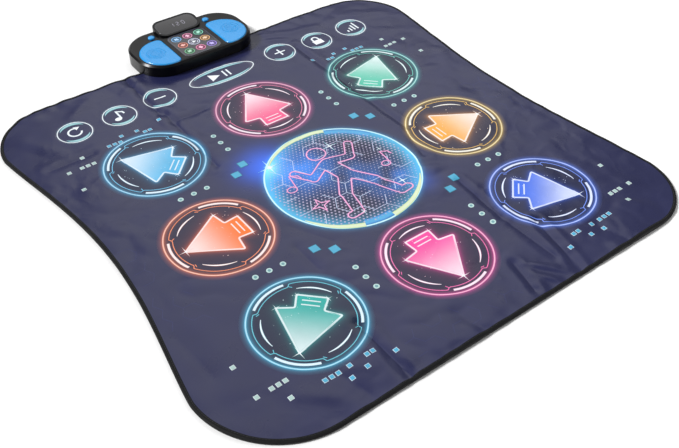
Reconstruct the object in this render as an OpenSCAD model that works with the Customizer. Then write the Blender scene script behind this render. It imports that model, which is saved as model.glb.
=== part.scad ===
// Dance rhythm machine: a soft printed dance mat with fifteen touch zones, and the control box clamped to its back edge.
// Origin: on the floor under the centre of the printed centre disc. +X to the player's right, +Y to the control box, +Z up.

/* [Mat outline] */
// Width of the mat over its corners
mat_w = 900; // [820:1:1100]
// From the origin to the front edge
mat_front = 407; // [380:1:520]
// From the origin to the back edge
mat_back = 500; // [490:1:600]
// Radius of three corners
mat_corner_r = 115; // [60:1:140]
// Radius of the front left corner, which lies rounder
mat_corner_soft = 145; // [60:1:160]
// How far the right side curves in at its middle
mat_waist = 27; // [0:1:50]
// How far the left side curves in at its middle
mat_waist_left = 40; // [0:1:50]
// Shape of both waists: a lower number is fuller
waist_power = 1.2; // [1:0.1:3]
// Width of the sewn edge binding
binding_w = 10; // [6:0.5:14]
// Thickness of the binding's outer wall
binding_wall = 1.2; // [0.8:0.1:2]
// Thickness of the binding's upper lip
binding_lip = 0.4; // [0.3:0.1:1]

/* [Mat layers] */
// Thickness of the non-slip bottom cover
bottom_t = 0.6; // [0.4:0.1:1.2]
// Thickness of one printed contact film
film_t = 0.2; // [0.1:0.05:0.4]
// Thickness of the spacer between the two films
spacer_t = 1.5; // [1.5:0.1:3]
// Thickness of the cushion foam
foam_t = 2.5; // [1.5:0.1:6]
// Thickness of the printed top cover
cover_t = 0.5; // [0.3:0.1:1]

/* [Touch zones] */
// Radius of an arrow pad
pad_r = 98; // [80:1:102]
// From the centre line to a corner pad
pad_corner_x = 242; // [225:1:260]
// From the centre line to the left and right pads
pad_side_x = 250; // [240:1:270]
// Place of the two back corner pads along the mat
pad_back_y = 223; // [200:1:235]
// Place of the two front corner pads along the mat
pad_front_y = -234; // [-250:1:-215]
// Place of the left and right pads along the mat
pad_side_y = -5; // [-10:1:10]
// Place of the up pad along the mat
pad_up_y = 250; // [240:1:255]
// Place of the down pad along the mat
pad_down_y = -242; // [-260:1:-240]
// Radius of a round function key
key_r = 36; // [28:0.5:38]
// Half the width of the oval start key
start_key_a = 76; // [60:1:85]
// Half the depth of the oval start key
start_key_b = 31; // [24:0.5:34]
// Distances of the three key pairs from the centre line
key_x1 = 138; // [130:1:145]
// Second pair
key_x2 = 226; // [220:1:230]
// Third pair
key_x3 = 315; // [305:1:320]
// Place of the start key and of the inner key pair along the mat
key_inner_y = 398; // [390:1:402]
// Place of the outer key pairs along the mat
key_outer_y = 391; // [385:1:395]
// Gap between a touch zone and the sheet round it
zone_gap = 0.3; // [0.2:0.05:0.5]
// How far a touch zone is pressed down
zone_travel = 1.2; // [0.8:0.1:1.4]

/* [Control box] */
// Width of the box
box_w = 252; // [245:1:320]
// Depth of the box
box_d = 142; // [140:1:175]
// Radius of its corners seen from above
box_r = 58; // [40:1:62]
// Height of its top face above the floor
box_top = 30; // [29:0.5:40]
// How much of the box's depth lies over the mat
box_over_mat = 51; // [50:1:56]
// Wall thickness of the shells
wall = 2.2; // [1.6:0.1:3]
// Thickness of the shells' floor and top
skin = 2; // [1.5:0.1:3]
// Height of the joint between the two shells
parting_z = 12; // [11:0.5:14]
// Width of the bevel round the top face
bevel = 3.5; // [1:0.5:5]
// Height of the feet under the rear of the box
foot_h = 1.5; // [1.2:0.1:3]
// Clearance between pieces that fit into each other
fit = 0.3; // [0.2:0.05:0.5]

/* [Display and icon panel] */
// Width of the display pod
pod_w = 98; // [90:1:104]
// Depth of the display pod
pod_d = 54; // [48:1:58]
// Corner radius of the pod
pod_r = 20; // [12:1:24]
// How far the pod stands out behind the box
pod_overhang = 12; // [4:1:18]
// Tilt of the display in degrees
pod_tilt = 8.5; // [0:0.5:12]
// Rim round the display lens
pod_rim = 4; // [3:0.5:6]
// Width of the icon panel
panel_w = 86; // [80:1:90]
// Depth of the icon panel
panel_d = 92; // [86:1:94]
// Corner radius of the icon panel
panel_r = 16; // [6:1:20]
// Distance between icons across the box
icon_dx = 25.5; // [22:0.5:26]
// Distance between icons along the box
icon_dy = 27.5; // [22:0.5:28]
// Radius of the light shaft behind an outer icon
icon_r = 9.5; // [7:0.5:10]
// Radius of the light shaft behind the centre icon
icon_centre_r = 12; // [9:0.5:12.5]

/* [Speakers and buttons] */
// Width of a speaker cover
cover_w = 65.5; // [60:0.5:68]
// Depth of a speaker cover
cover_d = 100; // [92:1:102]
// Height of a speaker cover's top above the box's top face
cover_rise = 3; // [2:0.5:5]
// Radius of a cover's two outer corners
cover_outer_r = 49; // [30:1:49]
// Radius of a cover's two inner corners
cover_inner_r = 12; // [6:1:16]
// From the centre line to the flat side of a cover
cover_x = 51.5; // [50:0.5:54]
// Size of the square speaker flange
speaker_w = 52; // [48:1:53]
// Radius of the speaker cone's opening
speaker_r = 23.5; // [20:0.5:23.5]
// Radius of the speaker magnet
magnet_r = 14; // [10:0.5:16]
// Radius of a push button
button_r = 7; // [5:0.5:8]
// From the centre line to a push button
button_x = 63.5; // [62:0.5:66]
// How far a push button is pressed down
button_travel = 0.5; // [0.3:0.1:0.6]

/* [Batteries] */
// Radius of an AA cell
cell_r = 7.1; // [6.9:0.1:8.6]
// Length of an AA cell over its nub
cell_l = 50.5; // [49.5:0.1:50.5]
// Room for each cell's spring
cell_spring_l = 8.7; // [6:0.1:10]
// Gap between neighbouring cells
cell_gap = 0.8; // [0.5:0.1:2]
// How far the battery door slides open
door_travel = 50; // [30:1:60]

/* [Hidden] */
$fn = 48;
eps = 0.01;
ARROWS = [
    ["up", 0, pad_up_y], ["down", 0, pad_down_y],
    ["left", -pad_side_x, pad_side_y], ["right", pad_side_x, pad_side_y],
    ["up_left", -pad_corner_x, pad_back_y], ["up_right", pad_corner_x, pad_back_y],
    ["down_left", -pad_corner_x, pad_front_y], ["down_right", pad_corner_x, pad_front_y]
];
KEYS = [
    ["volume_down", -key_x1, key_inner_y], ["volume_up", key_x1, key_inner_y],
    ["mode", -key_x2, key_outer_y], ["lock", key_x2, key_outer_y],
    ["memory", -key_x3, key_outer_y], ["level", key_x3, key_outer_y]
];
SIDES = [["left", -1], ["right", 1]];

// Heights of the mat's layers
z_film = bottom_t;
z_spacer = z_film + film_t;
z_upper = z_spacer + spacer_t;
z_foam = z_upper + film_t;
z_cover = z_foam + foam_t;
z_mat = z_cover + cover_t;
z_lip = z_mat + binding_lip;

// Places inside the control box
box_y = mat_back - box_over_mat + box_d/2;
front_z = z_lip + 0.1;
front_floor = front_z + skin;
rear_floor_t = 2.5;
rear_floor = foot_h + rear_floor_t;
step_y = mat_back + 2.5;
screw_recess = 0.4;
ceiling = box_top - skin;
board_t = 1.6;
panel_y = box_y - box_d/2 + 8 + panel_d/2;
panel_t = 2;
panel_proud = 0.4;
panel_ledge = 6;
board_w = 92;
board_d = 88;
board_back = 4;
board_post_r = 3.2;
board_edge = 4;
baffle_gap = 1;
baffle_r = 8;
pod_y = box_y + box_d/2 + pod_overhang - pod_d/2;
pod_mid_z = box_top + 7;
pod_floor = 24;
pod_side = 8;
pod_end = 7;
lens_t = 2;
display_t = 6;
display_w = 72;
display_d = 30;
digit_pitch = 15;
digit_w = 8;
digit_h = 16;
lens_z = -0.2;
lens_seat = 0.2;
button_y = box_y + 46;
speaker_x = cover_x + cover_w/2 + 1.75;
speaker_y = box_y - 16.5;
cover_seat = ceiling - 0.8;
seat_t = 1.7;
seat_margin = 2.5;
cover_gap = 0.4;
cover_bevel = 2.5;
cover_wall = 1.8;
speaker_seat = cover_seat - seat_t;
flange_t = 1.5;
magnet_h = 5.6;
magnet_gap = 0.4;
basket_h = speaker_seat - flange_t - magnet_h - front_floor - magnet_gap;
ear = speaker_w/2 - 4.5;

// Screws: shank radius, clearance hole, head
screw_r = 1.5;
screw_clear = 1.8;
head_r = 3;
head_h = 1.1;
boss_r = 3.8;
small_r = 1.2;
small_clear = 1.5;
small_head_r = 2.4;
small_head_h = 1.4;
clamp_y = box_y - 51;
clamp_xs = [-98, -52, 52, 98];
bar_l = 212;
bar_d = 16;
bar_t = 1;
bar_z = z_upper - bar_t;
rear_xs = [-100, 100];
rear_screw_y = box_y + 36;
screw_top = 24;

// Battery bay
bay_half = (cell_l + cell_spring_l)/2;
contact_t = 0.5;
bay_lead = 4;
bay_wall = 1.5;
cell_pitch = 2*cell_r + cell_gap;
cell_y0 = box_y + box_d/2 - wall - 5.2 - cell_r - 3*cell_pitch;
bay_front = cell_y0 - cell_r - bay_lead;
bay_back = box_y + box_d/2 - wall;
door_t = 1.6;
door_z = foot_h + 0.2;
rail_w = 2;
rail_t = 0.6;
rail_z = door_z + 0.8;
hatch_gap = 0.1;
lock_block = 3;
cell_z = door_z + door_t + fit + cell_r;
board_z = cell_z + cell_r + 2.2;
board_top = board_z + board_t;
door_lip_h = 14;
door_lip_t = 1.6;
door_screw_z = parting_z + 2;
lock_w = 5;
switch_board_z = 18;
switch_h = 3;
plunger_h = 1;
button_stem_z = switch_board_z + board_t + switch_h + plunger_h + button_travel + fit;
tail_y = mat_back - 14;
tail_w = 40;
tail_t = 0.3;
connector_h = 6;
foot_r = 6;
FEET = [[-88, box_y + 50], [88, box_y + 50], [-88, box_y - 6], [88, box_y - 6]];

// Half-width of the mat at a place along it, between the corner arcs at lo and side_hi, on a side that curves in by w
side_lo = -mat_front + mat_corner_r;
soft_lo = -mat_front + mat_corner_soft;
side_hi = mat_back - mat_corner_r;
function half_width(y, w, lo) =
    mat_w/2 - w*pow(max(cos(180*(y - (lo + side_hi)/2)/(side_hi - lo)), 0), waist_power);

// One quarter arc of an outline, from angle a0, as n steps
function arc(cx, cy, r, a0, n) = [for (i = [0:n]) [cx + r*cos(a0 + 90*i/n), cy + r*sin(a0 + 90*i/n)]];

// The mat's outline, drawn in by s: four corner arcs and two waisted sides
function mat_outline(s, n = 14, m = 22) = let (c = mat_w/2 - mat_corner_r, r = mat_corner_r - s) concat(
    [for (i = [1:m - 1]) let (y = side_lo + (side_hi - side_lo)*i/m) [half_width(y, mat_waist, side_lo) - s, y]],
    arc(c, side_hi, r, 0, n), arc(-c, side_hi, r, 90, n),
    [for (i = [1:m - 1]) let (y = side_hi + (soft_lo - side_hi)*i/m) [-half_width(y, mat_waist_left, soft_lo) + s, y]],
    arc(mat_corner_soft - mat_w/2, soft_lo, mat_corner_soft - s, 180, n), arc(c, side_lo, r, 270, n));

// A rectangle centred on the origin, with one radius for its right corners and one for its left
function soft_rect(w, d, rr, rl, n = 10) = concat(
    arc(w/2 - rr, d/2 - rr, rr, 0, n), arc(-w/2 + rl, d/2 - rl, rl, 90, n),
    arc(-w/2 + rl, -d/2 + rl, rl, 180, n), arc(w/2 - rr, -d/2 + rr, rr, 270, n));

function oval(a, b, n = 72) = [for (i = [0:n - 1]) [a*cos(360*i/n), b*sin(360*i/n)]];

// A tube along a list of points: one ring of corners at each point, square to the way there
function unit(v) = v/norm(v);
function ring(p, d, r, k) = let (u = unit(cross(d, abs(d[2]) < 0.9 ? [0, 0, 1] : [1, 0, 0])), v = unit(cross(d, u)))
    [for (j = [0:k - 1]) p + r*(u*cos(360*j/k) + v*sin(360*j/k))];
module tube(path, r, k = 8) {
    n = len(path);
    rings = [for (i = [0:n - 1]) ring(path[i], unit(path[min(i + 1, n - 1)] - path[max(i - 1, 0)]), r, k)];
    polyhedron(
        points = [for (row = rings, p = row) p],
        faces = concat([[for (j = [k - 1:-1:0]) j]],
            [for (i = [0:n - 2], j = [0:k - 1]) [i*k + j, i*k + (j + 1)%k, (i + 1)*k + (j + 1)%k, (i + 1)*k + j]],
            [[for (j = [0:k - 1]) (n - 1)*k + j]]));
}

// A straight-walled slab with the outline of a list of points
module slab(points, z0, z1) {
    translate([0, 0, z0]) linear_extrude(z1 - z0) polygon(points);
}

module box_slab(s, z0, z1) {
    translate([0, box_y, 0]) slab(soft_rect(box_w - 2*s, box_d - 2*s, box_r - s, box_r - s, 14), z0, z1);
}

// A round post or hole standing on z0
module post(x, y, r, z0, z1) {
    translate([x, y, z0]) cylinder(h = z1 - z0, r = r);
}

module block(x0, x1, y0, y1, z0, z1) {
    translate([x0, y0, z0]) cube([x1 - x0, y1 - y0, z1 - z0]);
}

// The display's own frame: its middle on the pod's tilted face
module on_pod() {
    translate([0, pod_y, pod_mid_z]) rotate([pod_tilt, 0, 0]) children();
}

// ---------- mat ----------

// Every touch zone's hole, wider than the zone by s
module zone_holes(s, z0, z1) {
    for (a = ARROWS) post(a[1], a[2], pad_r + s, z0, z1);
    for (k = KEYS) post(k[1], k[2], key_r + s, z0, z1);
    translate([0, key_inner_y, 0]) slab(oval(start_key_a + s, start_key_b + s), z0, z1);
}

// Where the clamp bar lies, and where its screws pass
module bar_pocket(z0, z1) {
    block(-bar_l/2 - 1, bar_l/2 + 1, clamp_y - bar_d/2 - 1, clamp_y + bar_d/2 + 1, z0, z1);
}
module clamp_holes(r, z0, z1) {
    for (x = clamp_xs) post(x, clamp_y, r, z0, z1);
}
module tail_slot(z0, z1) {
    block(-tail_w/2 - 0.5, tail_w/2 + 0.5, tail_y - 0.6, tail_y + tail_t + 0.6, z0, z1);
}

module bottom_cover() color("#23242a") difference() {
    slab(mat_outline(binding_w), 0, bottom_t);
    bar_pocket(-1, z_foam);
}
module lower_film() color("#cfd3d8") difference() {
    slab(mat_outline(binding_wall), z_film, z_spacer);
    bar_pocket(-1, z_foam);
}
module spacer() color("#e6e6e0") difference() {
    slab(mat_outline(binding_wall), z_spacer, z_upper);
    bar_pocket(-1, z_foam);
    zone_holes(zone_gap, z_spacer - 1, z_foam);
}
module upper_film() color("#cfd3d8") difference() {
    slab(mat_outline(binding_wall), z_upper, z_foam);
    clamp_holes(screw_clear, 0, z_mat);
    zone_holes(zone_gap, z_spacer, z_cover);
}
module foam() color("#4a4d57") difference() {
    slab(mat_outline(binding_wall), z_foam, z_cover);
    clamp_holes(screw_clear, 0, z_mat);
    tail_slot(z_upper, z_mat);
    zone_holes(zone_gap, z_upper, z_mat);
}
module top_cover() color("#4b4d66") difference() {
    slab(mat_outline(binding_wall), z_cover, z_mat);
    clamp_holes(screw_clear, 0, z_mat + 1);
    tail_slot(z_foam, z_mat + 1);
    zone_holes(zone_gap, z_foam, z_mat + 1);
}
module edge_binding() color("#17181c") difference() {
    slab(mat_outline(0), 0, z_lip);
    slab(mat_outline(binding_wall), bottom_t, z_mat);
    slab(mat_outline(binding_w), -1, z_lip + 1);
}

// A touch zone: the cover, foam and upper film that go down under the foot
module arrow_pad(x, y) color("#555a7a") post(x, y, pad_r, z_upper, z_mat);
module round_key(x, y) color("#3c3f52") post(x, y, key_r, z_upper, z_mat);
module key_start_pause() color("#3c3f52") translate([0, key_inner_y, 0])
    slab(oval(start_key_a, start_key_b), z_upper, z_mat);

// ---------- clamp between mat and box ----------

module clamp_bar() color("silver") difference() {
    block(-bar_l/2, bar_l/2, clamp_y - bar_d/2, clamp_y + bar_d/2, bar_z, z_upper);
    clamp_holes(screw_clear, 0, z_mat);
}
module clamp_screws() color("silver") for (x = clamp_xs) {
    post(x, clamp_y, head_r, bar_z - head_h, bar_z);
    post(x, clamp_y, screw_r, bar_z - eps, screw_top);
}
module film_tail() color("#c98b3a")
    block(-tail_w/2, tail_w/2, tail_y, tail_y + tail_t, z_foam, board_z - 2.5);
module film_connector() color("#e9e7dc") difference() {
    block(-tail_w/2 - 2, tail_w/2 + 2, tail_y - 2.3, tail_y + 2.7, board_z - connector_h, board_z);
    block(-tail_w/2 - fit, tail_w/2 + fit, tail_y - 0.2, tail_y + tail_t + 0.2,
          board_z - connector_h - 1, board_z - 2.5 + fit);
}

// ---------- shells ----------

board_posts = [for (x = [-1, 1], y = [-board_d/2 + board_edge, board_d/2 - board_back - board_edge])
    [x*(board_w/2 - board_edge - 2), panel_y + y]];
switch_posts = [-6, 6];
switch_post_r = 2;

module bottom_shell() color("#1b1c20") {
    difference() {
        union() {
            box_slab(0, front_z, parting_z);
            difference() {
                box_slab(0, foot_h, front_z + 1);
                block(-box_w, box_w, 0, step_y, 0, front_z + 2);
            }
        }
        box_slab(wall, front_floor, parting_z + 1);
        difference() {
            box_slab(wall, rear_floor, parting_z + 1);
            block(-box_w, box_w, 0, step_y + wall, 0, parting_z + 2);
        }
        clamp_holes(screw_clear, 0, parting_z);
        tail_slot(0, parting_z);
        for (x = rear_xs) {
            post(x, rear_screw_y, screw_clear, 0, parting_z);
            post(x, rear_screw_y, head_r + fit, 0, foot_h + head_h + screw_recess);
        }
        // battery hatch, its two grooves and the slot in the rear wall
        block(-bay_half + hatch_gap, bay_half - hatch_gap, bay_front, bay_back + wall + 1, 0, rear_floor + 0.5);
        block(-bay_half - rail_w + hatch_gap, bay_half + rail_w - hatch_gap, bay_front, bay_back + wall + 1,
              rail_z - fit, rail_z + rail_t + fit);
    }
    difference() {
        union() {
            for (x = clamp_xs) post(x, clamp_y, boss_r, front_floor - eps, parting_z);
            for (x = rear_xs) post(x, rear_screw_y, boss_r, rear_floor - eps, parting_z);
            for (p = board_posts) 
                post(p[0], p[1], board_post_r, (p[1] < step_y ? front_floor : rear_floor) - eps, board_z);
        }
        clamp_holes(screw_clear, 0, parting_z + 1);
        for (x = rear_xs) post(x, rear_screw_y, screw_clear, 0, parting_z + 1);
        for (p = board_posts) post(p[0], p[1], small_r, board_z - 6, board_z + 1);
    }
    // walls of the battery bay
    for (s = [-1, 1])
        block(s > 0 ? bay_half + contact_t : -bay_half - contact_t - bay_wall,
              s > 0 ? bay_half + contact_t + bay_wall : -bay_half - contact_t,
              bay_front, bay_back - fit, rear_floor - eps, cell_z + 5);
    block(-bay_half - contact_t - bay_wall, bay_half + contact_t + bay_wall, bay_front - bay_wall, bay_front,
          rear_floor - eps, cell_z + 3);
    // posts under the two switch boards
    for (s = [-1, 1], x = switch_posts)
        post(s*button_x + x, button_y, switch_post_r, rear_floor - eps, switch_board_z);
    // block behind the rear wall that takes the door's lock screw
    difference() {
        union() {
            block(-lock_w, lock_w, bay_back - lock_block, bay_back, door_screw_z - lock_block, door_screw_z + lock_block);
            block(-lock_w, lock_w, bay_back - eps, bay_back + wall, parting_z - lock_block, door_screw_z + lock_block);
        }
        translate([0, bay_back - 2.5, door_screw_z]) rotate([-90, 0, 0]) cylinder(h = 10, r = small_clear);
    }
}

module speaker_cover_outline(s, z0, z1) {
    translate([cover_x + cover_w/2, speaker_y, 0])
        slab(soft_rect(cover_w - 2*s, cover_d - 2*s, cover_outer_r - s, cover_inner_r - s), z0, z1);
}

// Places what is drawn for the right side on the side named by s
module on_side(s) {
    if (s > 0) children();
    else mirror([1, 0, 0]) children();
}

module top_shell() color("#1b1c20") difference() {
    union() {
        difference() {
            union() {
                hull() {
                    box_slab(0, parting_z, box_top - bevel);
                    box_slab(bevel, box_top - eps, box_top);
                }
                // display pod: upright walls up to the tilted face
                hull() {
                    translate([0, pod_y, 0]) slab(soft_rect(pod_w, pod_d, pod_r, pod_r), pod_floor, pod_floor + 1);
                    on_pod() slab(soft_rect(pod_w, pod_d - 1, pod_r, pod_r), -0.5, 0);
                }
            }
            box_slab(wall, parting_z - 1, box_top - bevel - 0.5);
            box_slab(wall + bevel - 1, parting_z, ceiling);
            // room for the display, open to the box below
            translate([0, pod_y, 0])
                slab(soft_rect(pod_w - 2*pod_side, pod_d - 2*pod_end, pod_r - pod_side, pod_r - pod_side), pod_floor + skin, pod_mid_z + 12);
        }
        // seats under the two speaker covers, and the bosses that hang from the ceiling
        for (s = [-1, 1]) on_side(s) speaker_cover_outline(-seat_margin, speaker_seat, ceiling + eps);
        for (x = clamp_xs) post(x, clamp_y, boss_r, parting_z, ceiling + eps);
        for (x = rear_xs) post(x, rear_screw_y, boss_r, parting_z, ceiling + eps);
    }
    // recess for the icon panel, and the window under it
    translate([0, panel_y, 0]) {
        slab(soft_rect(panel_w + 2*fit, panel_d + 2*fit, panel_r, panel_r), box_top + panel_proud - panel_t, box_top + 1);
        slab(soft_rect(panel_w - 2*panel_ledge, panel_d - 2*panel_ledge, panel_r - panel_ledge, panel_r - panel_ledge),
             ceiling - 5, box_top + 1);
    }
    // recess for the display lens
    on_pod() slab(soft_rect(pod_w - 2*pod_rim + 2*fit, pod_d - 1 - 2*pod_rim + 2*fit, pod_r - pod_rim, pod_r - pod_rim),
                  -lens_t + lens_z - lens_seat, 5);
    for (s = [-1, 1]) on_side(s) {
        speaker_cover_outline(-cover_gap, cover_seat, box_top + 5);
        post(speaker_x, speaker_y, speaker_r, parting_z + 1, box_top);
        for (a = [-1, 1], b = [-1, 1])
            post(speaker_x + a*ear, speaker_y + b*ear, small_r, speaker_seat - 1, cover_seat - 0.2);
        post(button_x, button_y, button_r + fit, ceiling - 3, box_top + 5);
    }
    clamp_holes(screw_r, parting_z - 1, screw_top + eps);
    for (x = rear_xs) post(x, rear_screw_y, screw_r, parting_z - 1, screw_top + eps);
    // notch in the rear wall for the lock screw's block
    block(-lock_w - fit, lock_w + fit, bay_back - 1, bay_back + wall + 1, parting_z - 1, door_screw_z + lock_block + fit);
}

module case_screws() color("silver") for (x = rear_xs) {
    post(x, rear_screw_y, head_r, foot_h + screw_recess, foot_h + head_h + screw_recess);
    post(x, rear_screw_y, screw_r, foot_h + head_h + screw_recess - eps, screw_top);
}
module rubber_feet() color("#2a2a2c") for (p = FEET) post(p[0], p[1], foot_r, 0, foot_h);

// ---------- electronics ----------

module main_board() color("#1f6b3a") difference() {
    block(-board_w/2, board_w/2, panel_y - board_d/2, panel_y + board_d/2 - board_back, board_z, board_top);
    for (p = board_posts) post(p[0], p[1], small_clear, board_z - 1, board_top + 1);
}
module board_screws() color("silver") for (p = board_posts) {
    post(p[0], p[1], small_head_r, board_top, board_top + small_head_h);
    post(p[0], p[1], small_r, board_z - 5, board_top + eps);
}
module board_components() color("#26272b") {
    block(-32, -18, panel_y - 30, panel_y - 20, board_z - 2, board_z);
    block(14, 24, panel_y - 34, panel_y - 27, board_z - 2.6, board_z);
    for (x = [-12, -4, 4]) post(x, panel_y - 35, 2.5, board_z - 8, board_z);
    for (x = [30, 34]) block(x, x + 2, panel_y - 30, panel_y - 26, board_z - 1, board_z);
}
module icon_places(dz = 0) {
    for (i = [-1:1], j = [-1:1]) translate([i*icon_dx, panel_y + j*icon_dy, dz]) children();
}
module light_baffle() color("#e8e8ea") difference() {
    translate([0, panel_y, 0])
        slab(soft_rect(panel_w - 2*panel_ledge - 2*baffle_gap, panel_d - 2*panel_ledge - 2*baffle_gap,
             baffle_r, baffle_r),
             board_top, box_top + panel_proud - panel_t);
    icon_places(board_top - 1) cylinder(h = 20, r = icon_r);
    translate([0, panel_y, board_top - 1]) cylinder(h = 20, r = icon_centre_r);
}
module indicator_leds() color("#fafad2") icon_places(board_top) {
    translate([-2.5, -2.5, 0]) cube([5, 5, 1]);
    translate([0, 0, 1 - eps]) cylinder(h = 0.8, r = 1.8);
}
module indicator_panel() color("#34343a")
    translate([0, panel_y, 0]) slab(soft_rect(panel_w, panel_d, panel_r, panel_r),
        box_top + panel_proud - panel_t, box_top + panel_proud);
module display_lens() color("#2c2c33") on_pod()
    slab(soft_rect(pod_w - 2*pod_rim, pod_d - 1 - 2*pod_rim, pod_r - pod_rim, pod_r - pod_rim),
         -lens_t + lens_z - lens_seat, lens_z);
module display_module() color("#d9d4c8") on_pod() difference() {
    top = -lens_t + lens_z - lens_seat - fit;
    translate([-display_w/2, -display_d/2, top - display_t]) cube([display_w, display_d, display_t]);
    for (i = [-1.5:1.5]) translate([i*digit_pitch - digit_w/2, -digit_h/2, top - 0.6]) cube([digit_w, digit_h, 1]);
}

module switch_boards() color("#1f6b3a") for (s = [-1, 1])
    block(s*button_x - 10, s*button_x + 10, button_y - 7, button_y + 7, switch_board_z, switch_board_z + board_t);
module tact_switches() color("#3a3a3e") for (s = [-1, 1]) {
    z = switch_board_z + board_t;
    block(s*button_x - 3, s*button_x + 3, button_y - 3, button_y + 3, z, z + switch_h);
    post(s*button_x, button_y, 1.7, z + switch_h - eps, z + switch_h + plunger_h);
}
module push_button(s) color("#4aa8f0") translate([s*button_x, button_y, 0]) rotate_extrude() {
    flange_z = ceiling - fit;
    dome_z = box_top + 1.5;
    polygon(concat([[0, button_stem_z], [2.5, button_stem_z], [2.5, flange_z - 1.5], [button_r + 2, flange_z - 1.5],
                    [button_r + 2, flange_z], [button_r, flange_z]],
                   [for (i = [0:8]) [button_r*cos(90*i/8), dome_z + 2.5*sin(90*i/8)]]));
}

// ---------- speakers ----------

module speaker_cover(s) color("#3a9cf5") on_side(s) difference() {
    hull() {
        speaker_cover_outline(0, cover_seat, box_top + cover_rise - 1.5);
        speaker_cover_outline(cover_bevel, box_top + cover_rise - 0.1, box_top + cover_rise);
    }
    speaker_cover_outline(cover_wall, cover_seat - 1, box_top + cover_rise - 2);
    for (k = [1:3], i = [0:8*k - 1])
        translate([speaker_x, speaker_y, 0]) rotate([0, 0, 45*i/k]) translate([6*k, 0, box_top]) cylinder(h = 8, r = 0.9);
}
module speaker_frame(s) color("#5b5e63") on_side(s) translate([speaker_x, speaker_y, 0]) {
    difference() {
        slab(soft_rect(speaker_w, speaker_w, 6, 6), speaker_seat - flange_t, speaker_seat);
        for (a = [-1, 1], b = [-1, 1]) post(a*ear, b*ear, small_clear, speaker_seat - 5, speaker_seat + 1);
        post(0, 0, speaker_r, speaker_seat - 5, speaker_seat + 1);
    }
    rotate_extrude() translate([0, speaker_seat - flange_t - basket_h])
        polygon([[6, 0], [magnet_r, 0], [speaker_r + 1, basket_h], [speaker_r + 1, basket_h + 0.5],
                 [speaker_r - 0.5, basket_h + 0.5], [magnet_r - 1, 1.5], [6, 1.5]]);
}
module speaker_magnet(s) color("#3b3b3f") on_side(s)
    post(speaker_x, speaker_y, magnet_r, speaker_seat - flange_t - basket_h - magnet_h, speaker_seat - flange_t - basket_h);
module speaker_cone(s) color("#15161a") on_side(s) translate([speaker_x, speaker_y, speaker_seat - 9]) rotate_extrude()
    polygon(concat([[0, 0], [5.6, 0], [6.4, 0.6], [speaker_r - 1.2, 7.6], [speaker_r - 0.6, 8.4], [speaker_r - 2.5, 8.4]],
                   [for (i = [0:6]) [7*cos(15*i), 2 + 2.5*sin(15*i)]]));
module speaker_screws() color("silver") for (s = [-1, 1], a = [-1, 1], b = [-1, 1]) {
    post(s*speaker_x + a*ear, speaker_y + b*ear, small_head_r, speaker_seat - flange_t - small_head_h, speaker_seat - flange_t);
    post(s*speaker_x + a*ear, speaker_y + b*ear, small_r, speaker_seat - flange_t - eps, speaker_seat + 1.3);
}

// ---------- batteries ----------

function cell_y(i) = cell_y0 + i*cell_pitch;
module batteries() color("#c9a227") for (i = [0:3]) {
    d = i % 2 == 0 ? 1 : -1;
    translate([d*bay_half, cell_y(i), cell_z]) rotate([0, -90*d, 0]) rotate_extrude()
        polygon([[0, 0], [2.7, 0], [2.7, 1.2], [cell_r - 0.5, 1.2], [cell_r, 1.7], [cell_r, cell_l - 0.4],
                 [cell_r - 0.4, cell_l], [0, cell_l]]);
}
module battery_contacts() color("silver") for (s = [-1, 1], i = [0:3])
    block(s > 0 ? bay_half : -bay_half - contact_t, s > 0 ? bay_half + contact_t : -bay_half,
          cell_y(i) - 5.5, cell_y(i) + 5.5, rear_floor + 0.1, cell_z + 4.5);
module battery_springs() color("silver") for (i = [0:3]) {
    d = i % 2 == 0 ? -1 : 1;
    turns = 3;
    steps = 36;
    tube([for (k = [0:steps]) let (t = k/steps, r = 4.8 - 1.6*t, a = 360*turns*t)
          [d*(bay_half - 0.5 - (cell_spring_l - 1)*t), cell_y(i) + r*cos(a), cell_z + r*sin(a)]], 0.45, 6);
}
module speaker_wires() color("#b03030") for (s = [-1, 1], w = [0, 1]) {
    y = speaker_y + 3*w;
    tube([[s*(board_w/2 - 3), y, board_z - 0.6], [s*(board_w/2 + 1), y, board_z - 1.2], [s*(board_w/2 + 6), y, 16],
          [s*(board_w/2 + 12), y, 13.4], [s*(speaker_x - magnet_r - 4), y, 12.6],
          [s*(speaker_x - magnet_r - 0.7), y, 12]], 0.6);
}
module battery_wires() color("#303030") for (s = [-1, 1])
    tube([[s*(bay_half + 0.7), cell_y0 + 3, cell_z + 5.7], [s*(bay_half + 2.6), cell_y0 + 1, cell_z + 6.4],
          [s*(bay_half + 4.4), cell_y0 - 3, 17.6], [s*(bay_half + 5), cell_y0 - 7, 19.2]], 0.6);

module battery_door() color("#1b1c20") {
    y1 = bay_back + wall + fit + door_lip_t;
    block(-bay_half + hatch_gap + fit, bay_half - hatch_gap - fit, bay_front + fit, y1, door_z, door_z + door_t);
    block(-bay_half - rail_w + hatch_gap + fit, bay_half + rail_w - hatch_gap - fit, bay_front + fit, bay_back - 1,
          rail_z, rail_z + rail_t);
    difference() {
        block(-bay_half + hatch_gap + fit, bay_half - hatch_gap - fit, y1 - door_lip_t, y1, door_z, door_z + door_lip_h + 2);
        translate([0, y1 - 5, door_screw_z]) rotate([-90, 0, 0]) cylinder(h = 10, r = small_r);
    }
}
module door_screw() color("silver") {
    y1 = bay_back + wall + fit + door_lip_t;
    translate([0, y1, door_screw_z]) rotate([-90, 0, 0]) difference() {
        cylinder(h = small_head_h, r = small_head_r);
        translate([-1.8, -0.3, 0.8]) cube([3.6, 0.6, 2]);
    }
    translate([0, bay_back - 1.8, door_screw_z]) rotate([-90, 0, 0]) cylinder(h = y1 - bay_back + 1.8 + eps, r = small_r);
}

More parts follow.
